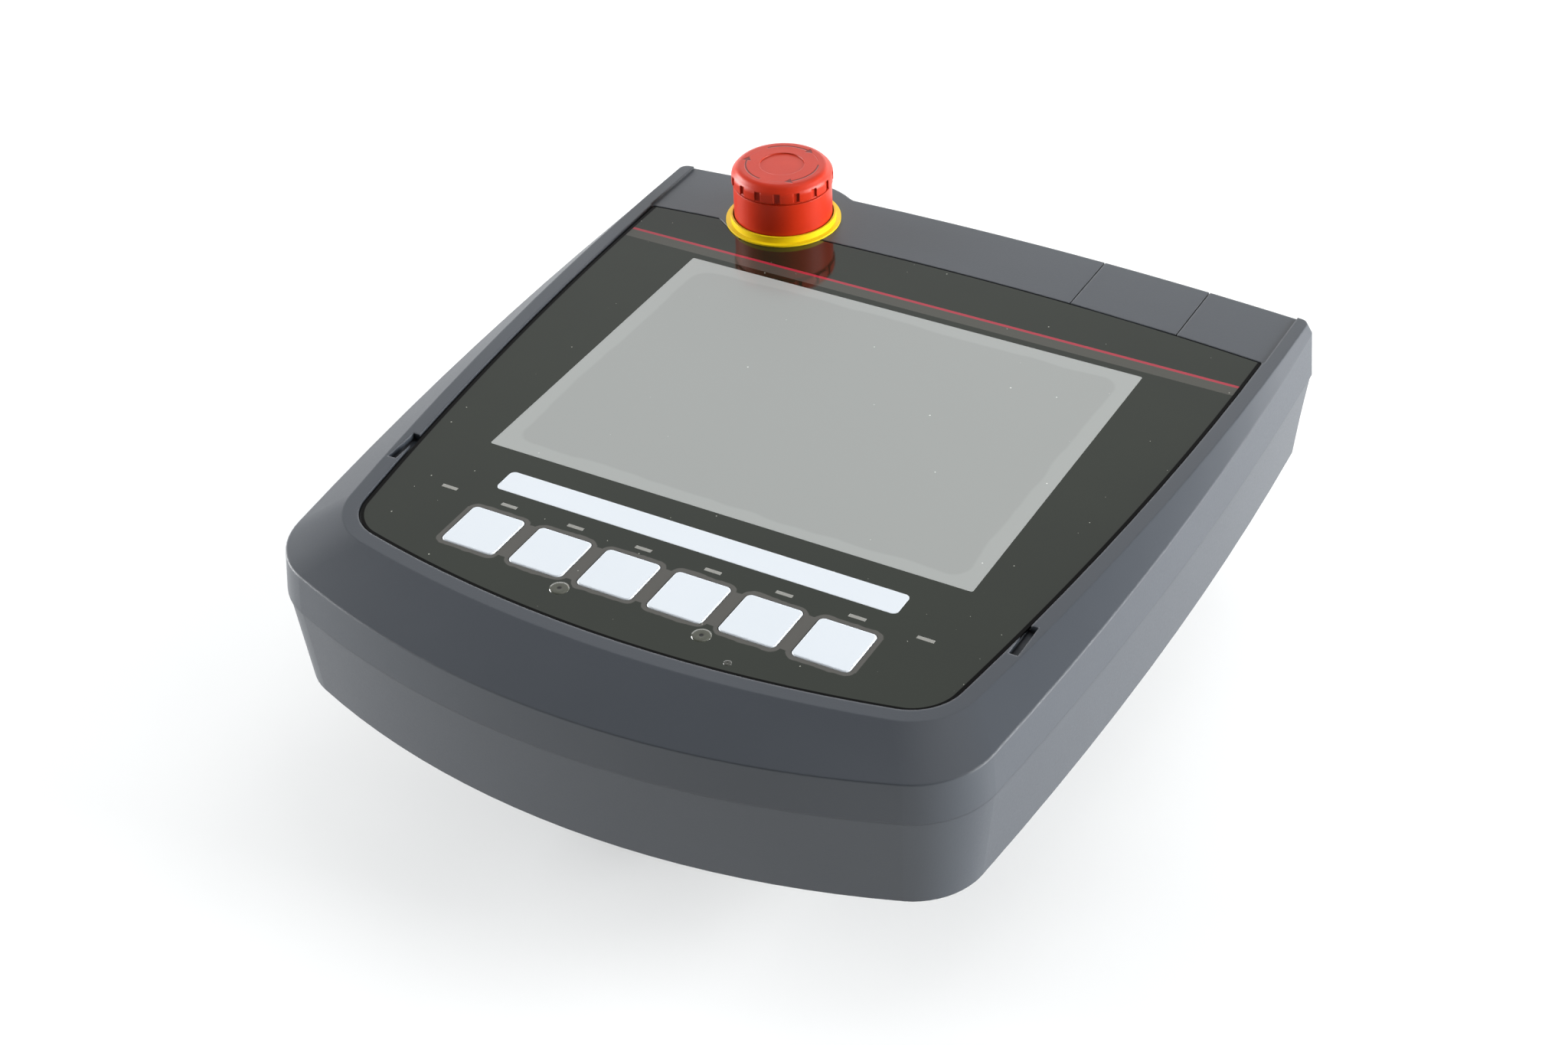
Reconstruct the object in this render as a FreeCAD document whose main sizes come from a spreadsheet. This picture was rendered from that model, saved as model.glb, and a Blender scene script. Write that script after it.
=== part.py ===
import FreeCAD, Part
import math
import os
import re

import Sketcher

# Handheld operator panel, lying on the back of its grip housing with the display facing up.
# Sketches are drawn about the display's centre: X to the right of the display, Y towards the top
# edge, Z out of the face. Heights count from the surface that the panel lies on.

DIMENSIONS = (
    # Heights of the stacked housing
    ("floor_height", 34, "underside of the rear case"),
    ("parting_height", 63.8, "plane where the cases meet"),
    ("face_height", 78.6, "front surface of the overlay"),
    # Housing outline at the parting plane
    ("half_width", 100.5, "widest half width"),
    ("crest_up", 24.6, "widest place above the display centre"),
    ("side_radius", 1236, "long bow of the sides"),
    ("top_reach", 99.9, "display centre to the top edge"),
    ("top_radius", 895, "bow of the top edge"),
    ("top_corner_radius", 3, "upper corners"),
    ("bottom_reach", 128.1, "display centre to the bottom edge"),
    ("bottom_radius", 227, "bow of the bottom edge"),
    ("bottom_corner_radius", 21.7, "lower corners"),
    ("wall", 3, "wall of the cases"),
    ("floor_thickness", 3, "floor of the rear case"),
    ("lower_inset", 3, "draft of the rear case wall"),
    ("rear_cavity_draft", 3.5, "draft of the rear case's inside"),
    ("lower_chamfer", 4, "chamfer round the underside"),
    ("shoulder_inset", 1, "draft of the front case wall"),
    ("shoulder_drop", 2.9, "rim edge below the face, at the display centre"),
    ("shoulder_tilt", 0.66, "slope of the rim edge towards the bottom, degrees"),
    ("cavity_draft", 1, "draft of the front case's inside"),
    ("cavity_bend", 4, "bend of the front case's inside below its roof"),
    ("parting_step", 0.3, "rear case behind the front case at the parting line"),
    ("top_inset", 1.2, "top edge of the face behind the top wall"),
    # Rails, overlay and their recess
    ("rail_width", 4.4, "flat rail round the overlay"),
    ("rail_rise", 0.6, "rail above the overlay"),
    ("rail_end_radius", 2.5, "upper ends of the rails"),
    ("band_margin", 0.9, "upper band beyond the overlay's side"),
    ("overlay_half_width", 91.8, "widest half width of the overlay"),
    ("overlay_crest_up", 76.8, "widest place of the overlay"),
    ("overlay_side_radius", 1143, "bow of the overlay's sides"),
    ("band_height", 25, "top edge of the housing to the overlay's top"),
    ("overlay_top_radius", 798, "bow of the overlay's top"),
    ("overlay_top_corner_radius", 0.8, "upper corners of the overlay"),
    ("overlay_bottom_reach", 103, "display centre to the overlay's bottom"),
    ("overlay_bottom_radius", 315, "bow of the overlay's bottom"),
    ("overlay_corner_radius", 13.3, "lower corners of the overlay"),
    ("overlay_thickness", 0.6, "overlay film"),
    ("overlay_gap", 0.5, "overlay to its recess"),
    ("panel_thickness", 2.4, "front wall under the overlay"),
    ("notch_out", 85.2, "side notches from the centre line"),
    ("notch_down", 61.5, "side notches below the display centre"),
    ("notch_length", 11.1, "side notches"),
    ("notch_width", 2.4, "side notches"),
    ("notch_depth", 2, "side notches"),
    # Display
    ("window_width", 134.2, "clear window"),
    ("window_height", 100.4, "clear window"),
    ("window_radius", 0.6, "clear window corners"),
    ("insert_gap", 0.05, "window, strip and lamp windows to the overlay"),
    ("glass_width", 138, "touch panel"),
    ("glass_height", 104, "touch panel"),
    ("glass_thickness", 1.8, "touch panel"),
    ("glass_gap", 0.2, "touch panel to the front case"),
    ("gasket_width", 2, "display gasket frame"),
    ("display_width", 154, "display module"),
    ("display_height", 113, "display module"),
    ("display_thickness", 9, "display module"),
    ("bracket_width", 170, "display bracket"),
    ("bracket_height", 112, "display bracket"),
    ("bracket_thickness", 1.2, "display bracket"),
    ("bracket_window_width", 104, "opening in the display bracket"),
    ("bracket_window_height", 74, "opening in the display bracket"),
    ("bracket_screw_x", 81.5, "bracket screws, sideways"),
    ("bracket_screw_y", 50, "bracket screws, up and down"),
    ("small_screw", 3, "small screw shank"),
    ("small_screw_head", 5.5, "small screw head"),
    ("small_head_height", 1.8, "small screw head"),
    ("screw_clearance", 0.2, "hole round a screw shank"),
    ("blind_floor", 0.4, "wall left under a blind screw hole"),
    ("tip_room", 0.4, "room beyond a screw's tip in a blind hole"),
    ("thread_play", 0.1, "tapped hole over its screw"),
    ("small_screw_length", 6, "small screw shank length"),
    ("boss_diameter", 7, "screw boss"),
    # Keys, strip and lamps
    ("key_pitch", 19.1, "function keys"),
    ("key_size", 15, "function keys"),
    ("key_radius", 1.5, "function keys"),
    ("key_down", 81.6, "function keys below the display centre"),
    ("key_gap", 0.15, "key to its opening"),
    ("key_rise", 0.2, "keys above the overlay"),
    ("key_round", 0.4, "rounded upper edges of the keys"),
    ("stem_reach", 1, "stem of a key inside its switch"),
    ("key_flange", 1.2, "lip that holds a key in, all round"),
    ("key_flange_thickness", 1, "lip that holds a key in"),
    ("key_stem", 3.4, "stem of a key"),
    ("stem_clearance", 0.05, "stem in its switch"),
    ("strip_width", 110.5, "label strip"),
    ("strip_height", 7.9, "label strip"),
    ("strip_radius", 1.5, "label strip"),
    ("strip_down", 61.75, "label strip below the display centre"),
    ("lamp_down", 70.5, "lamps below the display centre"),
    ("lamp_out", 65.2, "outer lamps from the centre line"),
    ("lamp_width", 4.5, "lamp window"),
    ("lamp_height", 1.2, "lamp window"),
    ("lamp_lip", 0.8, "lip of a lamp window under the front wall"),
    ("key_board_depth", 9, "key board below the face"),
    ("key_board_inset", 21.5, "ends of the key board from the housing's sides"),
    ("key_board_height", 31, "key board"),
    ("key_board_down", 78, "key board below the display centre"),
    ("board_thickness", 1.6, "circuit boards"),
    ("switch_size", 6.2, "key switch"),
    ("switch_height", 2, "key switch"),
    ("switch_well", 1.6, "depth of the stem's well in a key switch"),
    ("led_width", 3, "lamp on the key board"),
    ("led_height", 0.8, "lamp on the key board"),
    ("led_gap", 0.2, "lamp to its light pipe"),
    ("key_screw_inset", 5, "key board screws from its ends"),
    ("key_screw_y", 12.5, "key board screws from its middle"),
    # Main board
    ("spacer_length", 8, "spacers between bracket and main board"),
    ("spacer_diameter", 6, "spacers"),
    ("main_board_width", 150, "main board"),
    ("main_board_height", 108, "main board"),
    ("main_screw_x", 69, "main board screws, sideways"),
    ("main_screw_y", 48, "main board screws, up and down"),
    ("shield_width", 52, "shield can"),
    ("shield_height", 44, "shield can"),
    ("shield_depth", 4, "shield can"),
    ("shield_left", 30, "shield can from the centre line"),
    ("shield_up", 12, "shield can above the display centre"),
    ("connector_length", 34, "board connectors"),
    ("connector_width", 7, "board connectors"),
    ("connector_height", 6, "board connectors"),
    ("connector_right", 28, "board connectors from the centre line"),
    ("connector_out", 38, "board connectors from the middle of the board"),
    ("battery_diameter", 20, "backup battery"),
    ("battery_height", 5, "backup battery"),
    ("battery_right", 44, "backup battery from the centre line"),
    # Emergency stop
    ("stop_left", 55.2, "stop switch from the centre line"),
    ("stop_down", 19.55, "stop switch below the top edge"),
    ("lobe_radius", 22.65, "housing lobe round the stop switch"),
    ("lobe_blend", 5, "hollow curve beside the lobe"),
    ("lobe_dig", 0.15, "hollow curves carried into the top wall"),
    ("jog_out", 70, "upper end of the overlay's slanted edge"),
    ("jog_in", 60.9, "lower end of the overlay's slanted edge"),
    ("jog_low_down", 10.1, "lower end of the slanted edge below the overlay's top"),
    ("jog_high_down", 3.7, "upper end of the slanted edge below the overlay's top"),
    ("jog_room", 4, "room of the slanted corner beyond its upper end"),
    ("stop_seat_radius", 16, "seat of the collar in the overlay"),
    ("collar_radius", 16.3, "yellow collar"),
    ("collar_thickness", 0.5, "flat ring of the collar"),
    ("collar_rim_radius", 14.9, "raised rim of the collar"),
    ("collar_rim_height", 2.3, "raised rim of the collar"),
    ("collar_inner_radius", 14.3, "inside of the raised rim"),
    ("collar_sink", 1.6, "underside of the collar's cup below the face"),
    ("collar_floor", 0.6, "floor of the collar's cup"),
    ("barrel_radius", 11, "threaded barrel of the stop switch"),
    ("barrel_gap", 0.15, "barrel in the front case"),
    ("barrel_depth", 17, "barrel below the face"),
    ("barrel_bore", 6.2, "spring chamber of the barrel, radius"),
    ("barrel_guide", 8, "length of the guide at the barrel's lower end"),
    ("barrel_flange_radius", 12, "flange of the barrel in the collar"),
    ("barrel_flange_height", 1.2, "flange of the barrel in the collar"),
    ("nut_radius", 14.5, "lock nut of the stop switch"),
    ("nut_thickness", 4, "lock nut of the stop switch"),
    ("skirt_radius", 13.9, "skirt of the stop head"),
    ("skirt_rise", 2.1, "skirt above the face"),
    ("groove_rise", 11.8, "groove of the stop head above the face"),
    ("groove_height", 0.8, "groove of the stop head"),
    ("groove_depth", 0.7, "groove of the stop head"),
    ("cap_radius", 14.3, "cap of the stop head"),
    ("cap_rise", 15.4, "upper edge of the cap above the face"),
    ("cap_round", 1.8, "slope at the edge of the cap"),
    ("cap_edge", 2, "rounding at both ends of the cap's slope"),
    ("head_rise", 17.4, "top of the stop head above the face"),
    ("dish_radius", 6.3, "shallow disc in the top of the head"),
    ("dish_depth", 0.25, "shallow disc in the top of the head"),
    ("notch_count", 16, "finger notches round the cap"),
    ("finger_notch", 1.7, "finger notch width"),
    ("finger_notch_depth", 0.6, "finger notch depth"),
    ("head_wall", 1.6, "wall of the stop head"),
    ("hub_radius", 7, "hub inside the stop head"),
    ("hub_rise", 4, "lower end of the hub above the face"),
    ("roof_rise", 13.6, "inside of the head's roof above the face"),
    ("plunger_radius", 4.5, "plunger of the stop switch"),
    ("plunger_depth", 21, "lower end of the plunger below the face"),
    ("plunger_rise", 13, "upper end of the plunger above the face"),
    ("plunger_seat", 5.9, "spring seat on the plunger, radius"),
    ("plunger_seat_height", 2, "spring seat on the plunger"),
    ("running_clearance", 0.05, "sliding and turning fits"),
    ("contact_width", 26, "contact block"),
    ("contact_height", 22, "contact block"),
    ("contact_depth", 14, "contact block"),
    ("contact_bore", 8, "depth of the plunger's hole in the contact block"),
    ("stop_spring_radius", 5.6, "stop spring"),
    ("spring_wire", 0.8, "spring wire"),
    # Port and its cover
    ("port_width", 31, "port cover"),
    ("port_inset", 33.6, "port cover from the housing's side"),
    ("port_gap", 0.3, "port cover to the front case"),
    ("port_thickness", 2, "port cover"),
    ("port_edge_gap", 0.6, "port cover to the overlay"),
    ("cut_margin", 1, "cutting tools past what they cut"),
    ("port_undercut", 0.9, "room under the overlay's edge for the opening cover"),
    ("port_leg", 9, "port cover down the top wall"),
    ("port_leg_thickness", 1.4, "port cover down the top wall"),
    ("port_ledge", 1.6, "ledge under the port cover"),
    ("hinge_down", 20.4, "hinge pin below the top edge"),
    ("hinge_room", 3.2, "clear length beyond the hinge pin"),
    ("hinge_depth", 2.6, "hinge pin below the face"),
    ("hinge_radius", 0.8, "hinge pin"),
    ("knuckle_radius", 2, "hinge knuckle"),
    ("knuckle_length", 7, "hinge knuckle"),
    ("lug_width", 4.4, "lugs that hold the hinge pin"),
    ("pin_inset", 1, "ends of the hinge pin inside its lugs"),
    ("lug_length", 6, "lugs that hold the hinge pin"),
    ("lug_depth", 5.4, "lower end of the lugs below the face"),
    ("usb_depth", 9, "top of the sockets below the face"),
    ("usb_height", 9, "sockets"),
    ("usb_width", 14.5, "wide socket"),
    ("usb_thickness", 7.2, "wide socket"),
    ("usb_mouth_width", 12.5, "mouth of the wide socket"),
    ("usb_mouth_height", 5.1, "mouth of the wide socket"),
    ("mini_width", 9.2, "small socket"),
    ("mini_thickness", 5.6, "small socket"),
    ("mini_mouth_width", 7, "mouth of the small socket"),
    ("mini_mouth_height", 3.4, "mouth of the small socket"),
    ("usb_out", 6.2, "wide socket left of the port's middle"),
    ("mini_out", 8, "small socket right of the port's middle"),
    ("usb_mouth_depth", 7, "depth of the socket mouths"),
    ("usb_row_down", 11.9, "sockets below the top edge"),
    ("usb_post", 6, "posts that hold the port board"),
    ("usb_post_out", 20.5, "posts from the port's middle"),
    ("usb_board_width", 48, "port board"),
    ("usb_board_height", 12, "port board"),
    ("usb_board_drop", 2, "middle of the port board below the sockets"),
    # Case screws and seal
    ("seal_width", 1.2, "case seal"),
    ("seal_height", 1.4, "case seal"),
    ("seal_inset", 1.2, "case seal from the outside"),
    ("case_screw", 4, "case screws"),
    ("case_screw_head", 7, "case screw head"),
    ("case_head_height", 3, "case screw head"),
    ("case_screw_depth", 6, "case screw heads above the underside"),
    ("case_screw_reach", 6, "case screws above the parting plane"),
    ("column_diameter", 10, "screw columns of the cases"),
    ("upper_screw_inset", 13.5, "upper case screws from the housing's sides"),
    ("upper_screw_up", 62, "upper case screws above the display centre"),
    ("lower_screw_inset", 15.5, "lower case screws from the housing's sides"),
    ("lower_screw_down", 62, "lower case screws below the display centre"),
    ("end_screw_inset", 30.5, "end case screws from the housing's sides"),
    ("end_screw_up", 24.1, "end case screws above the bottom edge"),
    # Grip housing
    ("grip_up", 3, "middle of the grip housing above the display centre"),
    ("grip_width", 124, "grip housing at the rear case"),
    ("grip_length", 150, "grip housing at the rear case"),
    ("grip_back_width", 104, "grip housing at its back"),
    ("grip_radius", 26, "grip housing corners"),
    ("grip_round", 6, "rounded edge of the back"),
    ("grip_wall", 3, "wall of the grip housing"),
    ("grip_opening_width", 88, "opening from the grip housing to the rear case"),
    ("grip_opening_length", 108, "opening from the grip housing to the rear case"),
    ("grip_screw_x", 48, "grip housing screws, sideways"),
    ("grip_screw_y", 60, "grip housing screws from its middle"),
    ("grip_post", 9, "grip housing screw posts"),
    ("grip_post_length", 14, "grip housing screw posts"),
    # Grip switch
    ("lever_length", 76, "grip lever"),
    ("lever_height", 16, "grip lever"),
    ("lever_rise", 21, "middle of the grip lever above the back"),
    ("lever_stand", 5, "grip lever outside the wall"),
    ("lever_gap", 0.4, "grip lever to its slot"),
    ("slot_depth", 20, "slot of the lever through the grip housing's wall"),
    ("lever_lip", 2, "lip that holds the lever in, all round"),
    ("lever_lip_thickness", 2, "lip that holds the lever in"),
    ("lever_inner", 51.4, "outer face of the lip from the centre line"),
    ("lever_round", 2.5, "rounded edges of the lever"),
    ("frame_length", 88, "thickened wall round the lever"),
    ("frame_low", 9, "lower edge of the thickened wall"),
    ("frame_high", 33, "upper edge of the thickened wall"),
    ("bracket_plate", 2, "switch bracket plate"),
    ("bracket_plate_in", 36, "switch bracket from the centre line"),
    ("bracket_plate_length", 84, "switch bracket"),
    ("bracket_plate_height", 30, "switch bracket"),
    ("foot_length", 36, "foot of the switch bracket"),
    ("foot_depth", 14, "foot of the switch bracket"),
    ("foot_screw_in", 8.4, "bracket screws from the bracket's plate"),
    ("foot_hole_floor", 1.2, "wall under the bracket's screw holes"),
    ("foot_screw_out", 11, "screws of the foot from its middle"),
    ("enabling_length", 30, "enabling switch"),
    ("enabling_height", 20, "enabling switch"),
    ("enabling_depth", 24, "enabling switch"),
    ("actuator_radius", 4, "plunger of the enabling switch"),
    ("actuator_gap", 0.5, "bracket's hole round the grip plunger"),
    ("actuator_overlap", 5, "plunger inside the enabling switch"),
    ("actuator_bore", 10.5, "depth of the plunger's hole in the switch"),
    ("grip_spring_radius", 4, "grip springs"),
    ("grip_spring_out", 28, "grip springs from the lever's middle"),
    # Cable inlet
    ("gland_right", 16, "cable inlet from the centre line"),
    ("gland_rise", 18, "cable inlet above the back"),
    ("gland_boss_radius", 15, "flat boss round the cable inlet"),
    ("gland_boss_length", 13, "flat boss round the cable inlet"),
    ("gland_face_down", 73, "face of the boss below the display centre"),
    ("gland_thread_radius", 9.9, "thread of the cable inlet"),
    ("gland_hole_radius", 10.1, "hole for the cable inlet"),
    ("gland_flange_radius", 13, "flange of the cable inlet"),
    ("gland_flange_thickness", 6, "flange of the cable inlet"),
    ("gland_thread_length", 17.5, "thread of the cable inlet"),
    ("gland_bore_radius", 6.5, "bore of the cable inlet"),
    ("gland_seal_bore", 4.5, "hole in the inlet's rubber seal"),
    ("gland_seal_length", 8, "rubber seal of the inlet"),
    ("gland_seal_lip", 2, "lip of the rubber seal over the inlet's end"),
    ("gland_cap_radius", 11.5, "cap nut of the cable inlet"),
    ("gland_cap_length", 10, "cap nut of the cable inlet"),
    ("gland_cap_chamfer", 2, "sloped end of the cap nut"),
    ("gland_cap_gap", 0.6, "cap nut round the cable"),
    ("gland_nut_radius", 13, "inner lock nut"),
    ("gland_nut_thickness", 4, "inner lock nut"),
    ("nut_seat_radius", 13.6, "flat seat of the inlet's lock nut inside the grip housing"),
    # Service cover and terminal board
    ("cover_right", 14, "service cover from the centre line"),
    ("cover_width", 50, "service cover"),
    ("cover_length", 60, "service cover"),
    ("cover_radius", 5, "service cover"),
    ("hatch_radius", 4, "corners of the opening under the service cover"),
    ("cover_thickness", 2, "service cover"),
    ("cover_sink", 0.6, "service cover below the back"),
    ("cover_gap", 0.2, "service cover to its recess"),
    ("cover_lip", 10, "ledge under the service cover"),
    ("cover_frame", 4, "thickened floor beyond the service cover"),
    ("cover_frame_height", 6.6, "thickened floor round the service cover"),
    ("cover_screw", 2.5, "service cover screws"),
    ("cover_screw_head", 5, "service cover screw head"),
    ("cover_head_height", 1.2, "service cover screw head"),
    ("cover_screw_inset", 4, "service cover screws from its edges"),
    ("cover_up", 26, "service cover above the display centre"),
    ("cover_seal_width", 2, "service cover seal"),
    ("cover_seal_thickness", 0.8, "service cover seal"),
    ("terminal_board_width", 48, "terminal board"),
    ("terminal_board_length", 68, "terminal board"),
    ("terminal_board_rise", 13, "terminal board above the back"),
    ("terminal_post", 6, "terminal board posts"),
    ("terminal_screw_inset", 3.2, "terminal board screws from its edges"),
    ("terminal_width", 26, "terminal block"),
    ("terminal_depth", 10, "terminal block"),
    ("terminal_height", 6, "terminal block"),
    ("terminal_shift", 4, "terminal board right of the service cover's middle"),
    ("block_down", 12, "lower terminal block below the service cover's middle"),
    ("block_up", 6, "upper terminal block above the service cover's middle"),
)

# Places that follow from the sizes above
DERIVED = (
    ("stop_up", "top_reach - stop_down", "stop switch above the display centre"),
    ("overlay_top_reach", "top_reach - band_height", "display centre to the overlay's top"),
    ("jog_low", "overlay_top_reach - jog_low_down", "lower end of the overlay's slanted edge"),
    ("jog_high", "overlay_top_reach - jog_high_down", "upper end of the overlay's slanted edge"),
    ("key_board_width", "2 * (half_width - key_board_inset)", "key board"),
    ("key_screw_x", "key_board_width / 2 - key_screw_inset", "key board screws, sideways"),
    ("port_right", "half_width - port_inset", "port cover, outer side"),
    ("port_left", "port_right - port_width", "port cover, inner side"),
    ("port_middle", "(port_left + port_right) / 2", "middle of the port cover"),
    ("hinge_up", "top_reach - hinge_down", "hinge pin above the display centre"),
    ("usb_row_up", "top_reach - usb_row_down", "sockets above the display centre"),
    ("usb_left", "port_middle - usb_out", "wide socket from the centre line"),
    ("usb_right", "port_middle + mini_out", "small socket from the centre line"),
)

doc = FreeCAD.newDocument("handheld_panel")
sheet = doc.addObject("Spreadsheet::Sheet", "dims")
for row, (alias, value, meaning) in enumerate(DIMENSIONS, 1):
    sheet.set(f"A{row}", meaning)
    sheet.set(f"B{row}", str(value))
    sheet.setAlias(f"B{row}", alias)
for row, (alias, formula, meaning) in enumerate(DERIVED, len(DIMENSIONS) + 1):
    sheet.set(f"A{row}", meaning)
    sheet.set(f"B{row}", f"={formula}")
    sheet.setAlias(f"B{row}", alias)
doc.recompute()

ALIASES = {alias for alias, value, meaning in DIMENSIONS + DERIVED}
ORIGIN_SHIFT = "(bottom_reach - stop_up - lobe_radius) / 2"

# Heights that several pieces share
SEAT = "(face_height - overlay_thickness)"
UNDER = f"({SEAT} - panel_thickness)"
RAIL = "(face_height + rail_rise)"
GLASS_BACK = f"({SEAT} - glass_thickness)"
DISPLAY_BACK = f"({UNDER} - display_thickness)"
BRACKET_BACK = f"({DISPLAY_BACK} - bracket_thickness)"
MAIN_FRONT = f"({BRACKET_BACK} - spacer_length)"
MAIN_BACK = f"({MAIN_FRONT} - board_thickness)"
KEY_BOARD_FRONT = "(face_height - key_board_depth)"
KEY_BOARD_BACK = f"({KEY_BOARD_FRONT} - board_thickness)"
USB_TOP = "(face_height - usb_depth)"
USB_BOARD_TOP = f"({USB_TOP} - usb_height)"
FLOOR_TOP = "(floor_height + floor_thickness)"
STOP_X = "(-stop_left)"
STOP_PLACE = [(STOP_X, "stop_up")]
HINGE_Z = "(face_height - hinge_depth)"
LEVER_BACK = "(-lever_inner + lever_lip_thickness)"

CASE_SCREWS = [
    (f"{side} * (half_width - {inset})", up)
    for inset, up in (
        ("upper_screw_inset", "upper_screw_up"),
        ("lower_screw_inset", "-lower_screw_down"),
        ("end_screw_inset", "end_screw_up - bottom_reach"),
    )
    for side in (1, -1)
]
KEY_COLUMNS = [f"({index} - 2.5) * key_pitch" for index in range(6)]
KEY_PLACES = [(x, "-key_down") for x in KEY_COLUMNS]
LAMP_PLACES = [(x, "-lamp_down") for x in KEY_COLUMNS + ["lamp_out", "-lamp_out"]]
NODES = []
WAITING = {}


def cells(expression):
    """Point each dimension's name in an expression at its cell."""
    return re.sub(r"[a-z_]+", lambda word: f"dims.{word[0]}" if word[0] in ALIASES else word[0], expression)


def number(expression):
    """Value of an expression of dimensions."""
    return float(sheet.evalExpression(cells(expression)))


def vector(x, y, z=0.0):
    return FreeCAD.Vector(x, y, z)


def plane(owner, role):
    return next(item for item in owner.Origin.OriginFeatures if item.Role == role)


def body(name, several=False, part=True):
    """New body, shifted so that the whole panel is centred about the origin."""
    made = doc.addObject("PartDesign::Body", name)
    made.Label = name
    made.AllowCompound = several
    made.setExpression("Placement.Base.y", cells(ORIGIN_SHIFT))
    if part:
        NODES.append(made)
    return made


def sketch(owner, name, height="0", role="XY_Plane"):
    made = owner.newObject("Sketcher::SketchObject", name)
    made.AttachmentSupport = [(plane(owner, role), "")]
    made.MapMode = "FlatFace"
    made.setExpression("AttachmentOffset.Base.z", cells(height))
    return made


def hold(drawing, kind, *arguments):
    """Note a constraint for a sketch."""
    WAITING.setdefault(drawing.Name, []).append((Sketcher.Constraint(kind, *arguments), None))


def bind(drawing, kind, *arguments):
    """Note a constraint whose last argument is an expression of dimensions."""
    expression = arguments[-1]
    constraint = Sketcher.Constraint(kind, *arguments[:-1], number(expression))
    WAITING.setdefault(drawing.Name, []).append((constraint, expression))


def settle(drawing):
    """Give a sketch the constraints noted for it, and bind their values to the dimensions."""
    noted = WAITING.pop(drawing.Name)
    drawing.addConstraint([constraint for constraint, expression in noted])
    for index, (constraint, expression) in enumerate(noted):
        if expression:
            drawing.setExpression(f"Constraints[{index}]", cells(expression))


def place(drawing, item, point, x, y):
    bind(drawing, "DistanceX", -1, 1, item, point, x)
    bind(drawing, "DistanceY", -1, 1, item, point, y)


def circle(drawing, x, y, diameter):
    centre = vector(number(x), number(y))
    item = drawing.addGeometry(Part.Circle(centre, vector(0, 0, 1), number(diameter) / 2))
    bind(drawing, "Diameter", item, diameter)
    place(drawing, item, 3, x, y)


def polygon(drawing, corners):
    """Closed outline through corner expressions."""
    points = [vector(number(x), number(y)) for x, y in corners]
    items = []
    for index, point in enumerate(points):
        after = points[(index + 1) % len(points)]
        items.append(drawing.addGeometry(Part.LineSegment(point, after)))
    for index, item in enumerate(items):
        hold(drawing, "Coincident", item, 2, items[(index + 1) % len(items)], 1)
        place(drawing, item, 1, *corners[index])


def rectangle(drawing, x, y, width, height, radius=None):
    """Upright rectangle about a centre, with rounded corners where a radius is given."""
    left = f"{x} - ({width}) / 2"
    right = f"{x} + ({width}) / 2"
    low = f"{y} - ({height}) / 2"
    high = f"{y} + ({height}) / 2"
    if radius is None:
        polygon(drawing, ((left, low), (right, low), (right, high), (left, high)))
        return
    x0, x1, y0, y1, r = (number(value) for value in (left, right, low, high, radius))
    lines = (
        (vector(x0 + r, y0), vector(x1 - r, y0)),
        (vector(x1, y0 + r), vector(x1, y1 - r)),
        (vector(x1 - r, y1), vector(x0 + r, y1)),
        (vector(x0, y1 - r), vector(x0, y0 + r)),
    )
    centres = ((x1 - r, y0 + r), (x1 - r, y1 - r), (x0 + r, y1 - r), (x0 + r, y0 + r))
    sides = [drawing.addGeometry(Part.LineSegment(*ends)) for ends in lines]
    arcs = []
    for index, centre in enumerate(centres):
        start = (index - 1) * math.pi / 2
        ring = Part.Circle(vector(*centre), vector(0, 0, 1), r)
        arcs.append(drawing.addGeometry(Part.ArcOfCircle(ring, start, start + math.pi / 2)))
    for index in range(4):
        hold(drawing, "Tangent", sides[index], 2, arcs[index], 1)
        hold(drawing, "Tangent", arcs[index], 2, sides[(index + 1) % 4], 1)
    for index in (0, 2):
        hold(drawing, "Horizontal", sides[index])
        hold(drawing, "Vertical", sides[index + 1])
    for arc in arcs[1:]:
        hold(drawing, "Equal", arcs[0], arc)
    bind(drawing, "Radius", arcs[0], radius)
    bind(drawing, "DistanceX", -1, 1, sides[3], 1, left)
    bind(drawing, "DistanceX", -1, 1, sides[1], 1, right)
    bind(drawing, "DistanceY", -1, 1, sides[0], 1, low)
    bind(drawing, "DistanceY", -1, 1, sides[2], 1, high)


def housing(inset):
    """Outline of the housing, moved inwards: each entry is a centre and a radius."""
    return {
        "top": ("0", "top_reach - top_radius", f"top_radius - ({inset})"),
        "side": ("half_width - side_radius", "crest_up", f"side_radius - ({inset})"),
        "bottom": ("0", "bottom_radius - bottom_reach", f"bottom_radius - ({inset})"),
        "upper corner": f"max(top_corner_radius - ({inset}); rail_end_radius)",
        "lower corner": f"bottom_corner_radius - ({inset})",
    }


def overlay(inset):
    """Outline of the overlay, moved inwards."""
    return {
        "top": ("0", "overlay_top_reach - overlay_top_radius", f"overlay_top_radius - ({inset})"),
        "side": (
            "overlay_half_width - overlay_side_radius",
            "overlay_crest_up",
            f"overlay_side_radius - ({inset})",
        ),
        "bottom": (
            "0",
            "overlay_bottom_radius - overlay_bottom_reach",
            f"overlay_bottom_radius - ({inset})",
        ),
        "upper corner": "overlay_top_corner_radius",
        "lower corner": f"overlay_corner_radius - ({inset})",
    }


def rail(inset):
    """Outline of the rails: beside and below the overlay, and up to the housing's top edge."""
    outline = overlay(f"({inset}) - rail_width")
    outline["top"] = ("0", "top_reach - top_radius", f"top_radius - top_inset - ({inset})")
    outline["upper corner"] = "rail_end_radius"
    return outline


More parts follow.
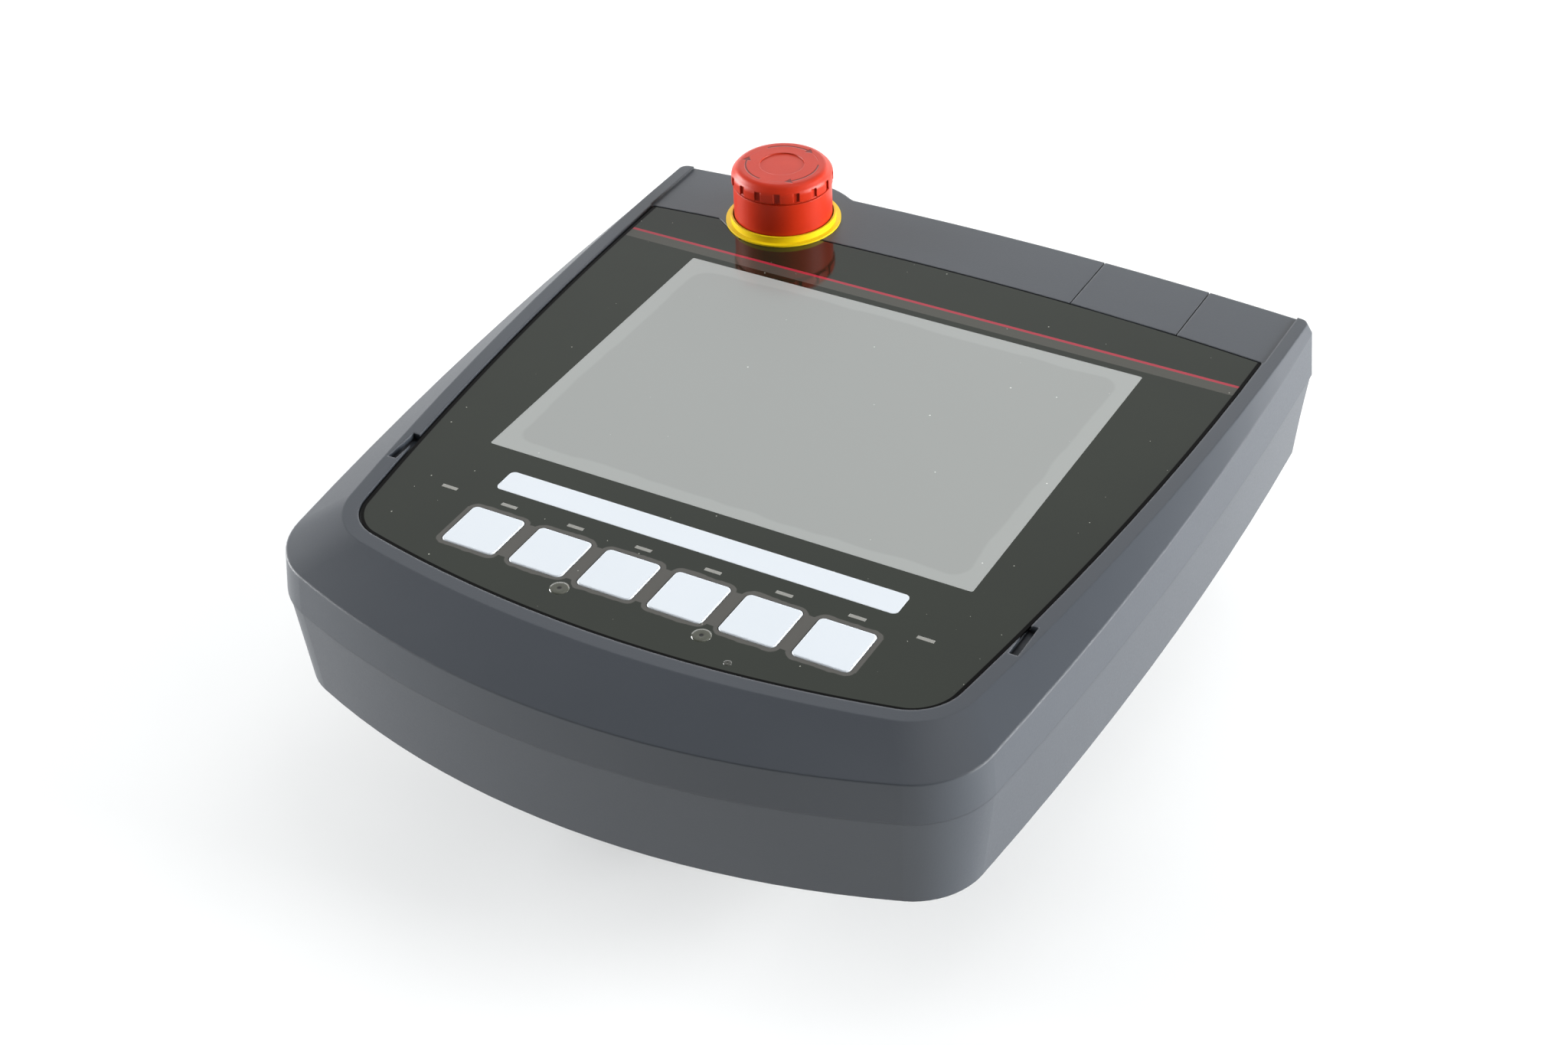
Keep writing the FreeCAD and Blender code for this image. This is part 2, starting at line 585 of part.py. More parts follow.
def rounding(first, second, radius, sign):
    """Centre of a corner arc inside two circles, to the right of the centre line."""
    (ax, ay, ar), (bx, by, br) = first, second
    ar = ar - radius
    br = br - radius
    span = math.hypot(bx - ax, by - ay)
    along = (ar**2 - br**2 + span**2) / (2 * span)
    aside = math.sqrt(ar**2 - along**2)
    ux, uy = (bx - ax) / span, (by - ay) / span
    options = [(ax + ux * along - uy * side, ay + uy * along + ux * side) for side in (aside, -aside)]
    return max(options, key=lambda point: sign * point[1])


def touch(circle_values, centre):
    """Angle at which a circle meets a corner arc inside it."""
    return math.atan2(centre[1] - circle_values[1], centre[0] - circle_values[0])


def contour(drawing, outline):
    """Closed outline of eight tangent arcs, alike on both sides of the centre line."""
    top = tuple(number(value) for value in outline["top"])
    side = tuple(number(value) for value in outline["side"])
    bottom = tuple(number(value) for value in outline["bottom"])
    upper = number(outline["upper corner"])
    lower = number(outline["lower corner"])
    high = rounding(top, side, upper, 1)
    low = rounding(bottom, side, lower, -1)
    a, b, c, d = touch(top, high), touch(side, high), touch(side, low), touch(bottom, low)
    turn = math.pi
    arcs = (
        (side, c, b),
        ((*high, upper), b, a),
        (top, a, turn - a),
        ((-high[0], high[1], upper), turn - a, turn - b),
        ((-side[0], side[1], side[2]), turn - b, turn - c),
        ((-low[0], low[1], lower), turn - c, -turn - d),
        (bottom, -turn - d, d),
        ((*low, lower), d, c),
    )
    items = []
    for (x, y, radius), start, end in arcs:
        ring = Part.Circle(vector(x, y), vector(0, 0, 1), radius)
        items.append(drawing.addGeometry(Part.ArcOfCircle(ring, start, end)))
    for index, item in enumerate(items):
        hold(drawing, "Tangent", item, 2, items[(index + 1) % len(items)], 1)
    left = (f"-({outline['side'][0]})", *outline["side"][1:])
    for item, (x, y, radius) in (
        (0, outline["side"]),
        (2, outline["top"]),
        (4, left),
        (6, outline["bottom"]),
    ):
        bind(drawing, "Radius", items[item], radius)
        place(drawing, items[item], 3, x, y)
    for item, radius in ((1, "upper corner"), (3, "upper corner"), (5, "lower corner"), (7, "lower corner")):
        bind(drawing, "Radius", items[item], outline[radius])


def contour_sketch(owner, name, outline, height, tilt=None):
    drawing = sketch(owner, name, height)
    if tilt:
        drawing.AttachmentOffset = FreeCAD.Placement(
            vector(0, 0, number(height)),
            FreeCAD.Rotation(vector(1, 0, 0), number(tilt)),
        )
        drawing.setExpression("AttachmentOffset.Base.z", cells(height))
        drawing.setExpression("AttachmentOffset.Rotation.Angle", cells(tilt))
    contour(drawing, outline)
    return drawing


def loft(owner, kind, name, sections):
    made = owner.newObject(f"PartDesign::{kind}Loft", name)
    for section in sections:
        settle(section)
    made.Profile = sections[0]
    made.Sections = sections[1:]
    made.Ruled = True
    return made


def pad(owner, drawing, length, down=False, taper=None):
    """Raise a sketch, along its normal unless it is turned round."""
    settle(drawing)
    made = owner.newObject("PartDesign::Pad", f"{drawing.Name}_pad")
    made.Profile = drawing
    made.setExpression("Length", cells(length))
    made.Reversed = down
    if taper:
        made.setExpression("TaperAngle", cells(taper))
    return made


def pocket(owner, drawing, depth, up=False, taper=None):
    """Cut a sketch into a body, against the sketch's normal unless it is turned round."""
    settle(drawing)
    made = owner.newObject("PartDesign::Pocket", f"{drawing.Name}_pocket")
    made.Profile = drawing
    made.setExpression("Length", cells(depth))
    made.Reversed = up
    if taper:
        made.setExpression("TaperAngle", cells(taper))
    return made


def slab(name, bottom, thickness, draw, several=False):
    """Body made of one padded sketch."""
    made = body(name, several)
    drawing = sketch(made, f"{name}_outline", bottom)
    draw(drawing)
    pad(made, drawing, thickness)
    return made


def grow(owner, name, bottom, length, draw, role="XY_Plane"):
    drawing = sketch(owner, name, bottom, role)
    draw(drawing)
    return pad(owner, drawing, length)


def cut(owner, name, top, depth, draw, role="XY_Plane"):
    drawing = sketch(owner, name, top, role)
    draw(drawing)
    return pocket(owner, drawing, depth)


def circles(centres, diameter):
    def draw(drawing):
        for x, y in centres:
            circle(drawing, x, y, diameter)

    return draw


def corners(x, y, middle="0"):
    """Four places, alike about the centre line and a middle height."""
    return [(f"{across} * {x}", f"{middle} + {along} * {y}") for across in (-1, 1) for along in (-1, 1)]


def screws(name, centres, head_face, shank, shank_length, head, head_height, heads_up=False):
    """Group of like screws; head_face is where the heads bear."""
    made = body(name, several=True)
    shanks = sketch(made, f"{name}_shanks", head_face)
    circles(centres, shank)(shanks)
    pad(made, shanks, shank_length, down=heads_up)
    heads = sketch(made, f"{name}_heads", head_face)
    circles(centres, head)(heads)
    pad(made, heads, head_height, down=not heads_up)
    return made


def edges_where(shape, test):
    """Names of the edges that pass a test."""
    return [f"Edge{index}" for index, edge in enumerate(shape.Edges, 1) if test(edge)]


def fillet(owner, name, radius, test):
    doc.recompute()
    base = owner.Tip
    made = owner.newObject("PartDesign::Fillet", name)
    made.Base = (base, edges_where(base.Shape, test))
    made.setExpression("Radius", cells(radius))
    return made


def lobe(owner, name, height, inset):
    """Sketch of the swelling behind the stop switch, with a hollow curve on each side of it."""
    drawing = sketch(owner, name, height)
    crown_radius = f"lobe_radius - ({inset})"
    hollow_radius = f"lobe_blend + ({inset})"
    bow_radius = f"top_radius - ({inset}) - lobe_dig"
    hub = (number(STOP_X), number("stop_up"), number(crown_radius))
    bow = (0.0, number("top_reach - top_radius"), number(bow_radius))
    blend = number(hollow_radius)
    span = math.hypot(bow[0] - hub[0], bow[1] - hub[1])
    along = ((hub[2] + blend) ** 2 - (bow[2] + blend) ** 2 + span**2) / (2 * span)
    aside = math.sqrt((hub[2] + blend) ** 2 - along**2)
    ux, uy = (bow[0] - hub[0]) / span, (bow[1] - hub[1]) / span
    foot = (hub[0] + ux * along, hub[1] + uy * along)
    left, right = sorted((foot[0] - uy * side, foot[1] + ux * side) for side in (aside, -aside))
    z_axis = vector(0, 0, 1)

    def towards(start, end):
        return math.atan2(end[1] - start[1], end[0] - start[0])

    def arc(centre, radius, start, end):
        ring = Part.Circle(vector(centre[0], centre[1]), z_axis, radius)
        return drawing.addGeometry(Part.ArcOfCircle(ring, start, end))

    first = arc(left, blend, towards(left, bow), towards(left, hub))
    second = arc(right, blend, towards(right, hub), towards(right, bow))
    crown = arc(hub, hub[2], towards(hub, right), towards(hub, left))
    start = drawing.getPoint(first, 1)
    end = drawing.getPoint(second, 2)
    rise = drawing.addGeometry(Part.LineSegment(vector(start.x, hub[1]), start))
    fall = drawing.addGeometry(Part.LineSegment(end, vector(end.x, hub[1])))
    base = drawing.addGeometry(Part.LineSegment(vector(end.x, hub[1]), vector(start.x, hub[1])))
    bowline = drawing.addGeometry(Part.Circle(vector(bow[0], bow[1]), z_axis, bow[2]), True)
    hold(drawing, "Tangent", first, 2, crown, 2)
    hold(drawing, "Tangent", second, 1, crown, 1)
    for one, one_end, other, other_end in (
        (rise, 2, first, 1),
        (fall, 1, second, 2),
        (fall, 2, base, 1),
        (base, 2, rise, 1),
    ):
        hold(drawing, "Coincident", one, one_end, other, other_end)
    hold(drawing, "Vertical", rise)
    hold(drawing, "Vertical", fall)
    hold(drawing, "Horizontal", base)
    bind(drawing, "Radius", crown, crown_radius)
    place(drawing, crown, 3, STOP_X, "stop_up")
    bind(drawing, "DistanceY", -1, 1, base, 1, "stop_up")
    bind(drawing, "Radius", bowline, bow_radius)
    place(drawing, bowline, 3, "0", "top_reach - top_radius")
    for item, point in ((first, 1), (second, 2)):
        bind(drawing, "Radius", item, hollow_radius)
        hold(drawing, "Tangent", item, point, bowline)
    return drawing


def shell(owner, name):
    """Outside of the front case: parting line, rim edge and rails."""
    tilted = ("face_height - shoulder_drop", "shoulder_tilt")
    sections = [
        contour_sketch(owner, f"{name}_parting", housing("0"), "parting_height"),
        contour_sketch(owner, f"{name}_shoulder", housing("shoulder_inset"), *tilted),
        contour_sketch(owner, f"{name}_rail", rail("0"), RAIL),
    ]
    return loft(owner, "Additive", name, sections)


def drill(owner, name, bottom, depth, draw, role="XY_Plane"):
    """Cut a sketch along its normal."""
    drawing = sketch(owner, name, bottom, role)
    draw(drawing)
    return pocket(owner, drawing, depth, up=True)


def boxes(centres, width, height, radius=None):
    def draw(drawing):
        for x, y in centres:
            rectangle(drawing, x, y, width, height, radius)

    return draw


def ring(x, y, width, height, radius, band):
    """Frame between a rounded rectangle and the same one moved inwards."""

    def draw(drawing):
        rectangle(drawing, x, y, width, height, radius)
        rectangle(
            drawing,
            x,
            y,
            f"{width} - 2 * ({band})",
            f"{height} - 2 * ({band})",
            f"{radius} - ({band}) / 2",
        )

    return draw


def overlay_edge(x):
    """Height of the overlay's top edge at a place across it."""
    return f"(overlay_top_reach - ({x})^2 / (2 * overlay_top_radius))"


def top_edge(x):
    """Height of the housing's top edge at a place across it."""
    return f"(top_reach - ({x})^2 / (2 * top_radius))"


def across(left, right, low, high):
    """Four-sided outline between two uprights; low and high give a height at each upright."""

    def draw(drawing):
        polygon(drawing, ((left, low(left)), (right, low(right)), (right, high(right)), (left, high(left))))

    return draw


def level(height):
    return lambda x: height


def grip_wall_at(height):
    """Outside of the grip housing's side wall at a height."""
    taper = "(grip_width - grip_back_width) / 2"
    return f"(grip_width / 2 - {taper} * (floor_height - ({height})) / floor_height)"


def turn(owner, drawing, axis):
    """Turn a sketch about one of its own axes."""
    settle(drawing)
    made = owner.newObject("PartDesign::Revolution", f"{drawing.Name}_turn")
    made.Profile = drawing
    made.ReferenceAxis = (drawing, [axis])
    made.Angle = 360
    return made


def spun(name, corner_list, x, y, z="0", role="XZ_Plane", axis="V_Axis"):
    """Body of revolution whose axis passes through a place."""
    made = body(name)
    made.setExpression("Placement.Base.x", cells(x))
    made.setExpression("Placement.Base.y", cells(f"{ORIGIN_SHIFT} + {y}"))
    made.setExpression("Placement.Base.z", cells(z))
    drawing = sketch(made, f"{name}_profile", role=role)
    polygon(drawing, corner_list)
    turn(made, drawing, axis)
    return made


def hexagon(drawing, x, y, radius):
    """Six-sided outline about a centre, flats upright."""
    half = f"{radius} * 0.5"
    wide = f"{radius} * 0.8660254"
    points = (
        ("0", radius),
        (wide, half),
        (wide, f"-{half}"),
        ("0", f"-{radius}"),
        (f"-{wide}", f"-{half}"),
        (f"-{wide}", half),
    )
    polygon(drawing, [(f"{x} + {across_x}", f"{y} + {along_y}") for across_x, along_y in points])


def coil(radius, length, start):
    """Corners of a spring drawn as a stack of rounded turns: height from start, radius outside."""
    turns = 6
    inside = f"({radius} - spring_wire)"
    points = [(inside, start)]
    for index in range(turns):
        base = f"{start} + {length} * {index} / {turns}"
        points.append((f"({radius} - spring_wire / 2)", base))
        points.append((radius, f"{base} + {length} / {4 * turns}"))
        points.append((radius, f"{base} + {length} * 3 / {4 * turns}"))
    points.append((f"({radius} - spring_wire / 2)", f"{start} + {length}"))
    points.append((inside, f"{start} + {length}"))
    return points


# Front case
PORT_SIDES = ("port_left - port_gap", "port_right + port_gap")
PORT_FAR = level("top_reach + lobe_radius")


def leg_line(gap):
    return lambda x: f"{top_edge(x)} - top_inset - port_leg_thickness - {gap}"


def jog(grow_by):
    """Slanted corner of the overlay beside the stop switch, with the room above it."""
    slope = "(jog_high - jog_low) / (jog_out - jog_in)"
    left = "-jog_out - jog_room"
    return (
        (f"-jog_in + {grow_by}", f"jog_low - {grow_by}"),
        (f"-jog_in + {grow_by}", "stop_up"),
        (left, "stop_up"),
        (left, f"jog_low - {grow_by} + (jog_out + jog_room - jog_in) * {slope}"),
    )


front = body("front_case")
shell(front, "front_shell")
loft(front, "Additive", "front_lobe", [
    lobe(front, "front_lobe_parting", "parting_height", "0"),
    lobe(front, "front_lobe_face", "face_height", "top_inset"),
])
loft(front, "Subtractive", "front_cavity", [
    contour_sketch(front, "front_cavity_parting", housing("wall"), "parting_height"),
    contour_sketch(front, "front_cavity_bend", housing("wall + cavity_draft"), f"{UNDER} - cavity_bend"),
    contour_sketch(front, "front_cavity_roof", rail("wall"), UNDER),
])
loft(front, "Subtractive", "front_lobe_cavity", [
    lobe(front, "front_lobe_cavity_parting", "parting_height", "wall"),
    lobe(front, "front_lobe_cavity_roof", UNDER, "wall + top_inset"),
])
BAND_HALF = "(overlay_half_width + band_margin)"
cut(front, "front_band", RAIL, "rail_rise", across(f"-{BAND_HALF}", BAND_HALF, overlay_edge, PORT_FAR))
cut(
    front,
    "front_recess",
    RAIL,
    "rail_rise + overlay_thickness",
    lambda d: contour(d, overlay("-overlay_gap")),
)
grow(front, "front_jog", UNDER, f"face_height - {UNDER}", lambda d: polygon(d, jog("0")))
grow(front, "front_seat", UNDER, f"face_height - {UNDER}", circles(STOP_PLACE, "2 * stop_seat_radius"))
cut(
    front,
    "front_notches",
    RAIL,
    "notch_depth",
    boxes([("notch_out", "-notch_down"), ("-notch_out", "-notch_down")], "notch_width", "notch_length"),
)


def openings(owner, name, top, depth):
    """Openings for the keys and the lamps."""
    opening = "key_size + 2 * key_gap"
    cut(
        owner,
        f"{name}_key_openings",
        top,
        depth,
        boxes(KEY_PLACES, opening, opening, "key_radius + key_gap"),
    )
    cut(owner, f"{name}_lamp_openings", top, depth, boxes(LAMP_PLACES, "lamp_width", "lamp_height"))


cut(
    front,
    "front_window",
    SEAT,
    "panel_thickness",
    boxes([("0", "0")], "glass_width", "glass_height", "key_radius"),
)
openings(front, "front", SEAT, "panel_thickness")
cut(
    front,
    "front_collar_seat",
    "face_height",
    "collar_sink",
    circles(STOP_PLACE, "2 * (collar_rim_radius + barrel_gap)"),
)
cut(
    front,
    "front_stop_hole",
    "face_height",
    f"face_height - {UNDER}",
    circles(STOP_PLACE, "2 * (barrel_radius + barrel_gap)"),
)
BRACKET_SCREWS = corners("bracket_screw_x", "bracket_screw_y")
KEY_SCREWS = corners("key_screw_x", "key_screw_y", "-key_board_down")
USB_SCREWS = [("port_middle - usb_post_out", "usb_row_up"), ("port_middle + usb_post_out", "usb_row_up")]
TAP = "small_screw + thread_play"
BOARD_TAP = "small_screw_length - board_thickness + tip_room"
grow(
    front,
    "front_bracket_bosses",
    DISPLAY_BACK,
    f"{UNDER} - {DISPLAY_BACK}",
    circles(BRACKET_SCREWS, "boss_diameter"),
)
grow(
    front,
    "front_key_bosses",
    KEY_BOARD_FRONT,
    f"{UNDER} - {KEY_BOARD_FRONT}",
    circles(KEY_SCREWS, "boss_diameter"),
)
grow(
    front,
    "front_port_posts",
    USB_BOARD_TOP,
    f"{UNDER} - {USB_BOARD_TOP}",
    circles(USB_SCREWS, "usb_post"),
)
grow(
    front,
    "front_columns",
    "parting_height",
    f"{UNDER} - parting_height",
    circles(CASE_SCREWS, "column_diameter"),
)
drill(front, "front_bracket_holes", DISPLAY_BACK, "small_screw_length", circles(BRACKET_SCREWS, TAP))
drill(front, "front_key_holes", KEY_BOARD_FRONT, BOARD_TAP, circles(KEY_SCREWS, TAP))
drill(front, "front_port_holes", USB_BOARD_TOP, "small_screw_length", circles(USB_SCREWS, TAP))
drill(
    front,
    "front_column_holes",
    "parting_height",
    "case_screw_reach + tip_room",
    circles(CASE_SCREWS, "case_screw + thread_play"),
)
cut(
    front,
    "front_port_seat",
    "face_height",
    "port_thickness",
    across(*PORT_SIDES, level("hinge_up"), PORT_FAR),
)
cut(
    front,
    "front_port_leg",
    "face_height",
    "port_leg + port_gap",
    across(*PORT_SIDES, leg_line("port_gap"), PORT_FAR),
)
cut(front, "front_port_tail", "face_height", f"face_height - {UNDER}", across(
    *PORT_SIDES, lambda x: f"{overlay_edge(x)} - port_undercut", level("hinge_up + hinge_room")))
cut(front, "front_port_well", "face_height", f"face_height - {UNDER}", across(
    "port_left + port_ledge",
    "port_right - port_ledge",
    level("hinge_up"),
    leg_line("port_gap + port_ledge"),
))
LUGS = [
    ("port_left - port_gap - lug_width / 2", "hinge_up"),
    ("port_right + port_gap + lug_width / 2", "hinge_up"),
]
grow(
    front,
    "front_lugs",
    "face_height - lug_depth",
    f"lug_depth - (face_height - {UNDER})",
    boxes(LUGS, "lug_width", "lug_length"),
)
PIN_END = "(lug_width + port_gap - pin_inset)"
cut(front, "front_pin_hole", f"port_right + {PIN_END}", f"port_right - port_left + 2 * {PIN_END}",
    circles([("hinge_up", HINGE_Z)], "2 * hinge_radius"), "YZ_Plane")

# Port cover and its pin
cover = body("port_cover")
shell(cover, "port_shell")
drawing = sketch(cover, "port_outside", f"{RAIL} + cut_margin")
rectangle(drawing, "0", "0", "3 * half_width", "3 * half_width")
across("port_left", "port_right", lambda x: f"{overlay_edge(x)} + port_edge_gap", level("1.4 * half_width"))(
    drawing,
)
pocket(cover, drawing, f"{RAIL} + 2 * cut_margin - parting_height")
WIDE = boxes([("0", "0")], "3 * half_width", "3 * half_width")
cut(cover, "port_trim", RAIL, "rail_rise", WIDE)
cut(cover, "port_below", "face_height - port_leg", "face_height - parting_height", WIDE)
cut(cover, "port_inside", "face_height - port_thickness", "face_height - parting_height", across(
    "port_left - cut_margin", "port_right + cut_margin", level("0"), leg_line("0")))
KNUCKLE = circles([("hinge_up", HINGE_Z)], "2 * knuckle_radius")
grow(cover, "port_knuckle_left", "port_left + port_gap", "knuckle_length", KNUCKLE, "YZ_Plane")
grow(
    cover,
    "port_knuckle_right",
    "port_right - port_gap - knuckle_length",
    "knuckle_length",
    KNUCKLE,
    "YZ_Plane",
)
cut(cover, "port_bore", "port_right + cut_margin", "port_right - port_left + 2 * cut_margin",
    circles([("hinge_up", HINGE_Z)], "2 * (hinge_radius + running_clearance)"), "YZ_Plane")
pin = body("port_hinge_pin")
grow(pin, "pin_rod", f"port_left - {PIN_END}", f"port_right - port_left + 2 * {PIN_END}",
     circles([("hinge_up", HINGE_Z)], "2 * hinge_radius"), "YZ_Plane")

# Overlay, window and label strip
film = slab("front_overlay", SEAT, "overlay_thickness", lambda d: contour(d, overlay("0")))


def film_windows(drawing):
    rectangle(drawing, "0", "0", "window_width", "window_height", "window_radius")
    rectangle(drawing, "0", "-strip_down", "strip_width", "strip_height", "strip_radius")


cut(film, "film_windows", "face_height", "overlay_thickness", film_windows)
openings(film, "film", "face_height", "overlay_thickness")
cut(film, "film_jog", "face_height", "overlay_thickness", lambda d: polygon(d, jog("overlay_gap")))
cut(
    film,
    "film_seat",
    "face_height",
    "overlay_thickness",
    circles(STOP_PLACE, "2 * (stop_seat_radius + overlay_gap)"),
)
INSET = "2 * insert_gap"
slab(
    "display_window",
    SEAT,
    "overlay_thickness",
    boxes([("0", "0")], f"window_width - {INSET}", f"window_height - {INSET}", "window_radius"),
)
slab(
    "label_strip",
    SEAT,
    "overlay_thickness",
    boxes([("0", "-strip_down")], f"strip_width - {INSET}", f"strip_height - {INSET}", "strip_radius"),
)

# Display
GLASS = ("glass_width - 2 * glass_gap", "glass_height - 2 * glass_gap")
slab("touch_panel", GLASS_BACK, "glass_thickness", boxes([("0", "0")], *GLASS, "key_radius"))
slab(
    "display_gasket",
    UNDER,
    f"{GLASS_BACK} - {UNDER}",
    ring("0", "0", *GLASS, "key_radius", "gasket_width"),
)
slab(
    "display_module",
    DISPLAY_BACK,
    "display_thickness",
    boxes([("0", "0")], "display_width", "display_height", "key_radius"),
)


def bracket_outline(drawing):
    rectangle(drawing, "0", "0", "bracket_width", "bracket_height", "boss_diameter / 2")
    rectangle(drawing, "0", "0", "bracket_window_width", "bracket_window_height", "boss_diameter / 2")
    circles(BRACKET_SCREWS, "small_screw + 2 * screw_clearance")(drawing)


SMALL = ("small_screw", "small_screw_length", "small_screw_head", "small_head_height")
slab("display_bracket", BRACKET_BACK, "bracket_thickness", bracket_outline)
screws("bracket_screws", BRACKET_SCREWS, BRACKET_BACK, *SMALL)

# Function keys, lamps and their board
KEY_LIP = f"({UNDER} - running_clearance)"
KEY_FOOT = f"({KEY_LIP} - key_flange_thickness)"
STEM_END = f"({KEY_BOARD_FRONT} + switch_height - stem_reach)"
for index, x in enumerate(KEY_COLUMNS, 1):
    key = body(f"function_key_{index}")
    grow(
        key,
        f"key_{index}_cap",
        KEY_LIP,
        f"face_height + key_rise - {KEY_LIP}",
        boxes([(x, "-key_down")], "key_size", "key_size", "key_radius"),
    )
    grow(
        key,
        f"key_{index}_lip",
        KEY_FOOT,
        "key_flange_thickness",
        boxes([(x, "-key_down")], "key_size + 2 * key_flange", "key_size + 2 * key_flange", "key_radius"),
    )
    grow(
        key,
        f"key_{index}_stem",
        STEM_END,
        f"{KEY_FOOT} - {STEM_END}",
        circles([(x, "-key_down")], "key_stem"),
    )
    fillet(key, f"key_{index}_edge", "key_round", lambda edge: edge.BoundBox.ZMin > number("face_height"))
LENS = (f"lamp_width - {INSET}", f"lamp_height - {INSET}")
LED_TOP = f"({KEY_BOARD_FRONT} + led_height + led_gap)"
PIPE_LIP = f"({UNDER} - lamp_lip)"
pipes = body("light_pipes", several=True)
grow(pipes, "pipe_lens", UNDER, f"face_height - {UNDER}", boxes(LAMP_PLACES, *LENS))
grow(
    pipes,
    "pipe_lip",
    PIPE_LIP,
    "lamp_lip",
    boxes(LAMP_PLACES, "lamp_width + 2 * lamp_lip", "lamp_height + 2 * lamp_lip"),
)
grow(pipes, "pipe_leg", LED_TOP, f"{PIPE_LIP} - {LED_TOP}", boxes(LAMP_PLACES, *LENS))


def key_board_outline(drawing):
    rectangle(drawing, "0", "-key_board_down", "key_board_width", "key_board_height", "key_radius")
    circles(KEY_SCREWS, "small_screw + 2 * screw_clearance")(drawing)


slab("key_board", KEY_BOARD_BACK, "board_thickness", key_board_outline)
switches = slab(
    "key_switches",
    KEY_BOARD_FRONT,
    "switch_height",
    boxes(KEY_PLACES, "switch_size", "switch_size"),
    several=True,
)
cut(
    switches,
    "switch_wells",
    f"{KEY_BOARD_FRONT} + switch_height",
    "switch_well",
    circles(KEY_PLACES, "key_stem + 2 * stem_clearance"),
)
slab(
    "indicator_leds",
    KEY_BOARD_FRONT,
    "led_height",
    boxes(LAMP_PLACES, "led_width", "lamp_height"),
    several=True,
)
screws("key_board_screws", KEY_SCREWS, KEY_BOARD_BACK, *SMALL)

# Main board
MAIN_SCREWS = corners("main_screw_x", "main_screw_y")
spacers = slab(
    "board_spacers",
    MAIN_FRONT,
    "spacer_length",
    circles(MAIN_SCREWS, "spacer_diameter"),
    several=True,
)
drill(spacers, "spacer_holes", MAIN_FRONT, "small_screw_length", circles(MAIN_SCREWS, TAP))


def main_board_outline(drawing):
    rectangle(drawing, "0", "0", "main_board_width", "main_board_height", "key_radius")
    circles(MAIN_SCREWS, "small_screw + 2 * screw_clearance")(drawing)


slab("main_board", MAIN_BACK, "board_thickness", main_board_outline)
screws("main_board_screws", MAIN_SCREWS, MAIN_BACK, *SMALL)
slab(
    "shield_can",
    f"{MAIN_BACK} - shield_depth",
    "shield_depth",
    boxes([("-shield_left", "shield_up")], "shield_width", "shield_height", "key_radius"),
)
slab(
    "board_connectors",
    f"{MAIN_BACK} - connector_height",
    "connector_height",
    boxes(
        [("connector_right", "-connector_out"), ("connector_right", "connector_out")],
        "connector_length",
        "connector_width",
    ),
    several=True,
)
slab(
    "backup_battery",
    f"{MAIN_BACK} - battery_height",
    "battery_height",
    circles([("battery_right", "0")], "battery_diameter"),
)

# Sockets behind the port cover


def port_board_outline(drawing):
    rectangle(
        drawing,
        "port_middle",
        "usb_row_up - usb_board_drop",
        "usb_board_width",
        "usb_board_height",
        "key_radius",
    )
    circles(USB_SCREWS, "small_screw + 2 * screw_clearance")(drawing)


slab("port_board", f"{USB_BOARD_TOP} - board_thickness", "board_thickness", port_board_outline)
screws("port_board_screws", USB_SCREWS, f"{USB_BOARD_TOP} - board_thickness", *SMALL)
sockets = body("port_sockets", several=True)
WIDE_SOCKET = [("usb_left", "usb_row_up")]
SMALL_SOCKET = [("usb_right", "usb_row_up")]
grow(sockets, "wide_socket", USB_BOARD_TOP, "usb_height", boxes(WIDE_SOCKET, "usb_width", "usb_thickness"))
grow(
    sockets,
    "small_socket",
    USB_BOARD_TOP,
    "usb_height",
    boxes(SMALL_SOCKET, "mini_width", "mini_thickness"),
)
cut(
    sockets,
    "wide_mouth",
    USB_TOP,
    "usb_mouth_depth",
    boxes(WIDE_SOCKET, "usb_mouth_width", "usb_mouth_height"),
)
cut(
    sockets,
    "small_mouth",
    USB_TOP,
    "usb_mouth_depth",
    boxes(SMALL_SOCKET, "mini_mouth_width", "mini_mouth_height"),
)

# Emergency stop
F = "face_height"
CUP_FLOOR = f"({F} - collar_sink + collar_floor)"
spun("stop_collar", (
    ("barrel_radius + barrel_gap", f"{F} - collar_sink"),
    ("collar_rim_radius", f"{F} - collar_sink"),
    ("collar_rim_radius", F),
    ("collar_radius", F),
    ("collar_radius", f"{F} + collar_thickness"),
    ("collar_rim_radius", f"{F} + collar_thickness"),
    ("collar_rim_radius", f"{F} + collar_rim_height"),
    ("collar_inner_radius", f"{F} + collar_rim_height"),
    ("collar_inner_radius", CUP_FLOOR),
    ("barrel_radius + barrel_gap", CUP_FLOOR),
), STOP_X, "stop_up")
CHAMBER_FLOOR = f"({F} - barrel_depth + barrel_guide)"
FLANGE_TOP = f"({CUP_FLOOR} + barrel_flange_height)"
spun("stop_barrel", (
    ("plunger_radius + running_clearance", f"{F} - barrel_depth"),
    ("barrel_radius", f"{F} - barrel_depth"),
    ("barrel_radius", CUP_FLOOR),
    ("barrel_flange_radius", CUP_FLOOR),
    ("barrel_flange_radius", FLANGE_TOP),
    ("barrel_bore", FLANGE_TOP),
    ("barrel_bore", CHAMBER_FLOOR),
    ("plunger_radius + running_clearance", CHAMBER_FLOOR),
), STOP_X, "stop_up")


def nut_outline(drawing):
    hexagon(drawing, STOP_X, "stop_up", "nut_radius")
    circle(drawing, STOP_X, "stop_up", "2 * (barrel_radius + running_clearance)")


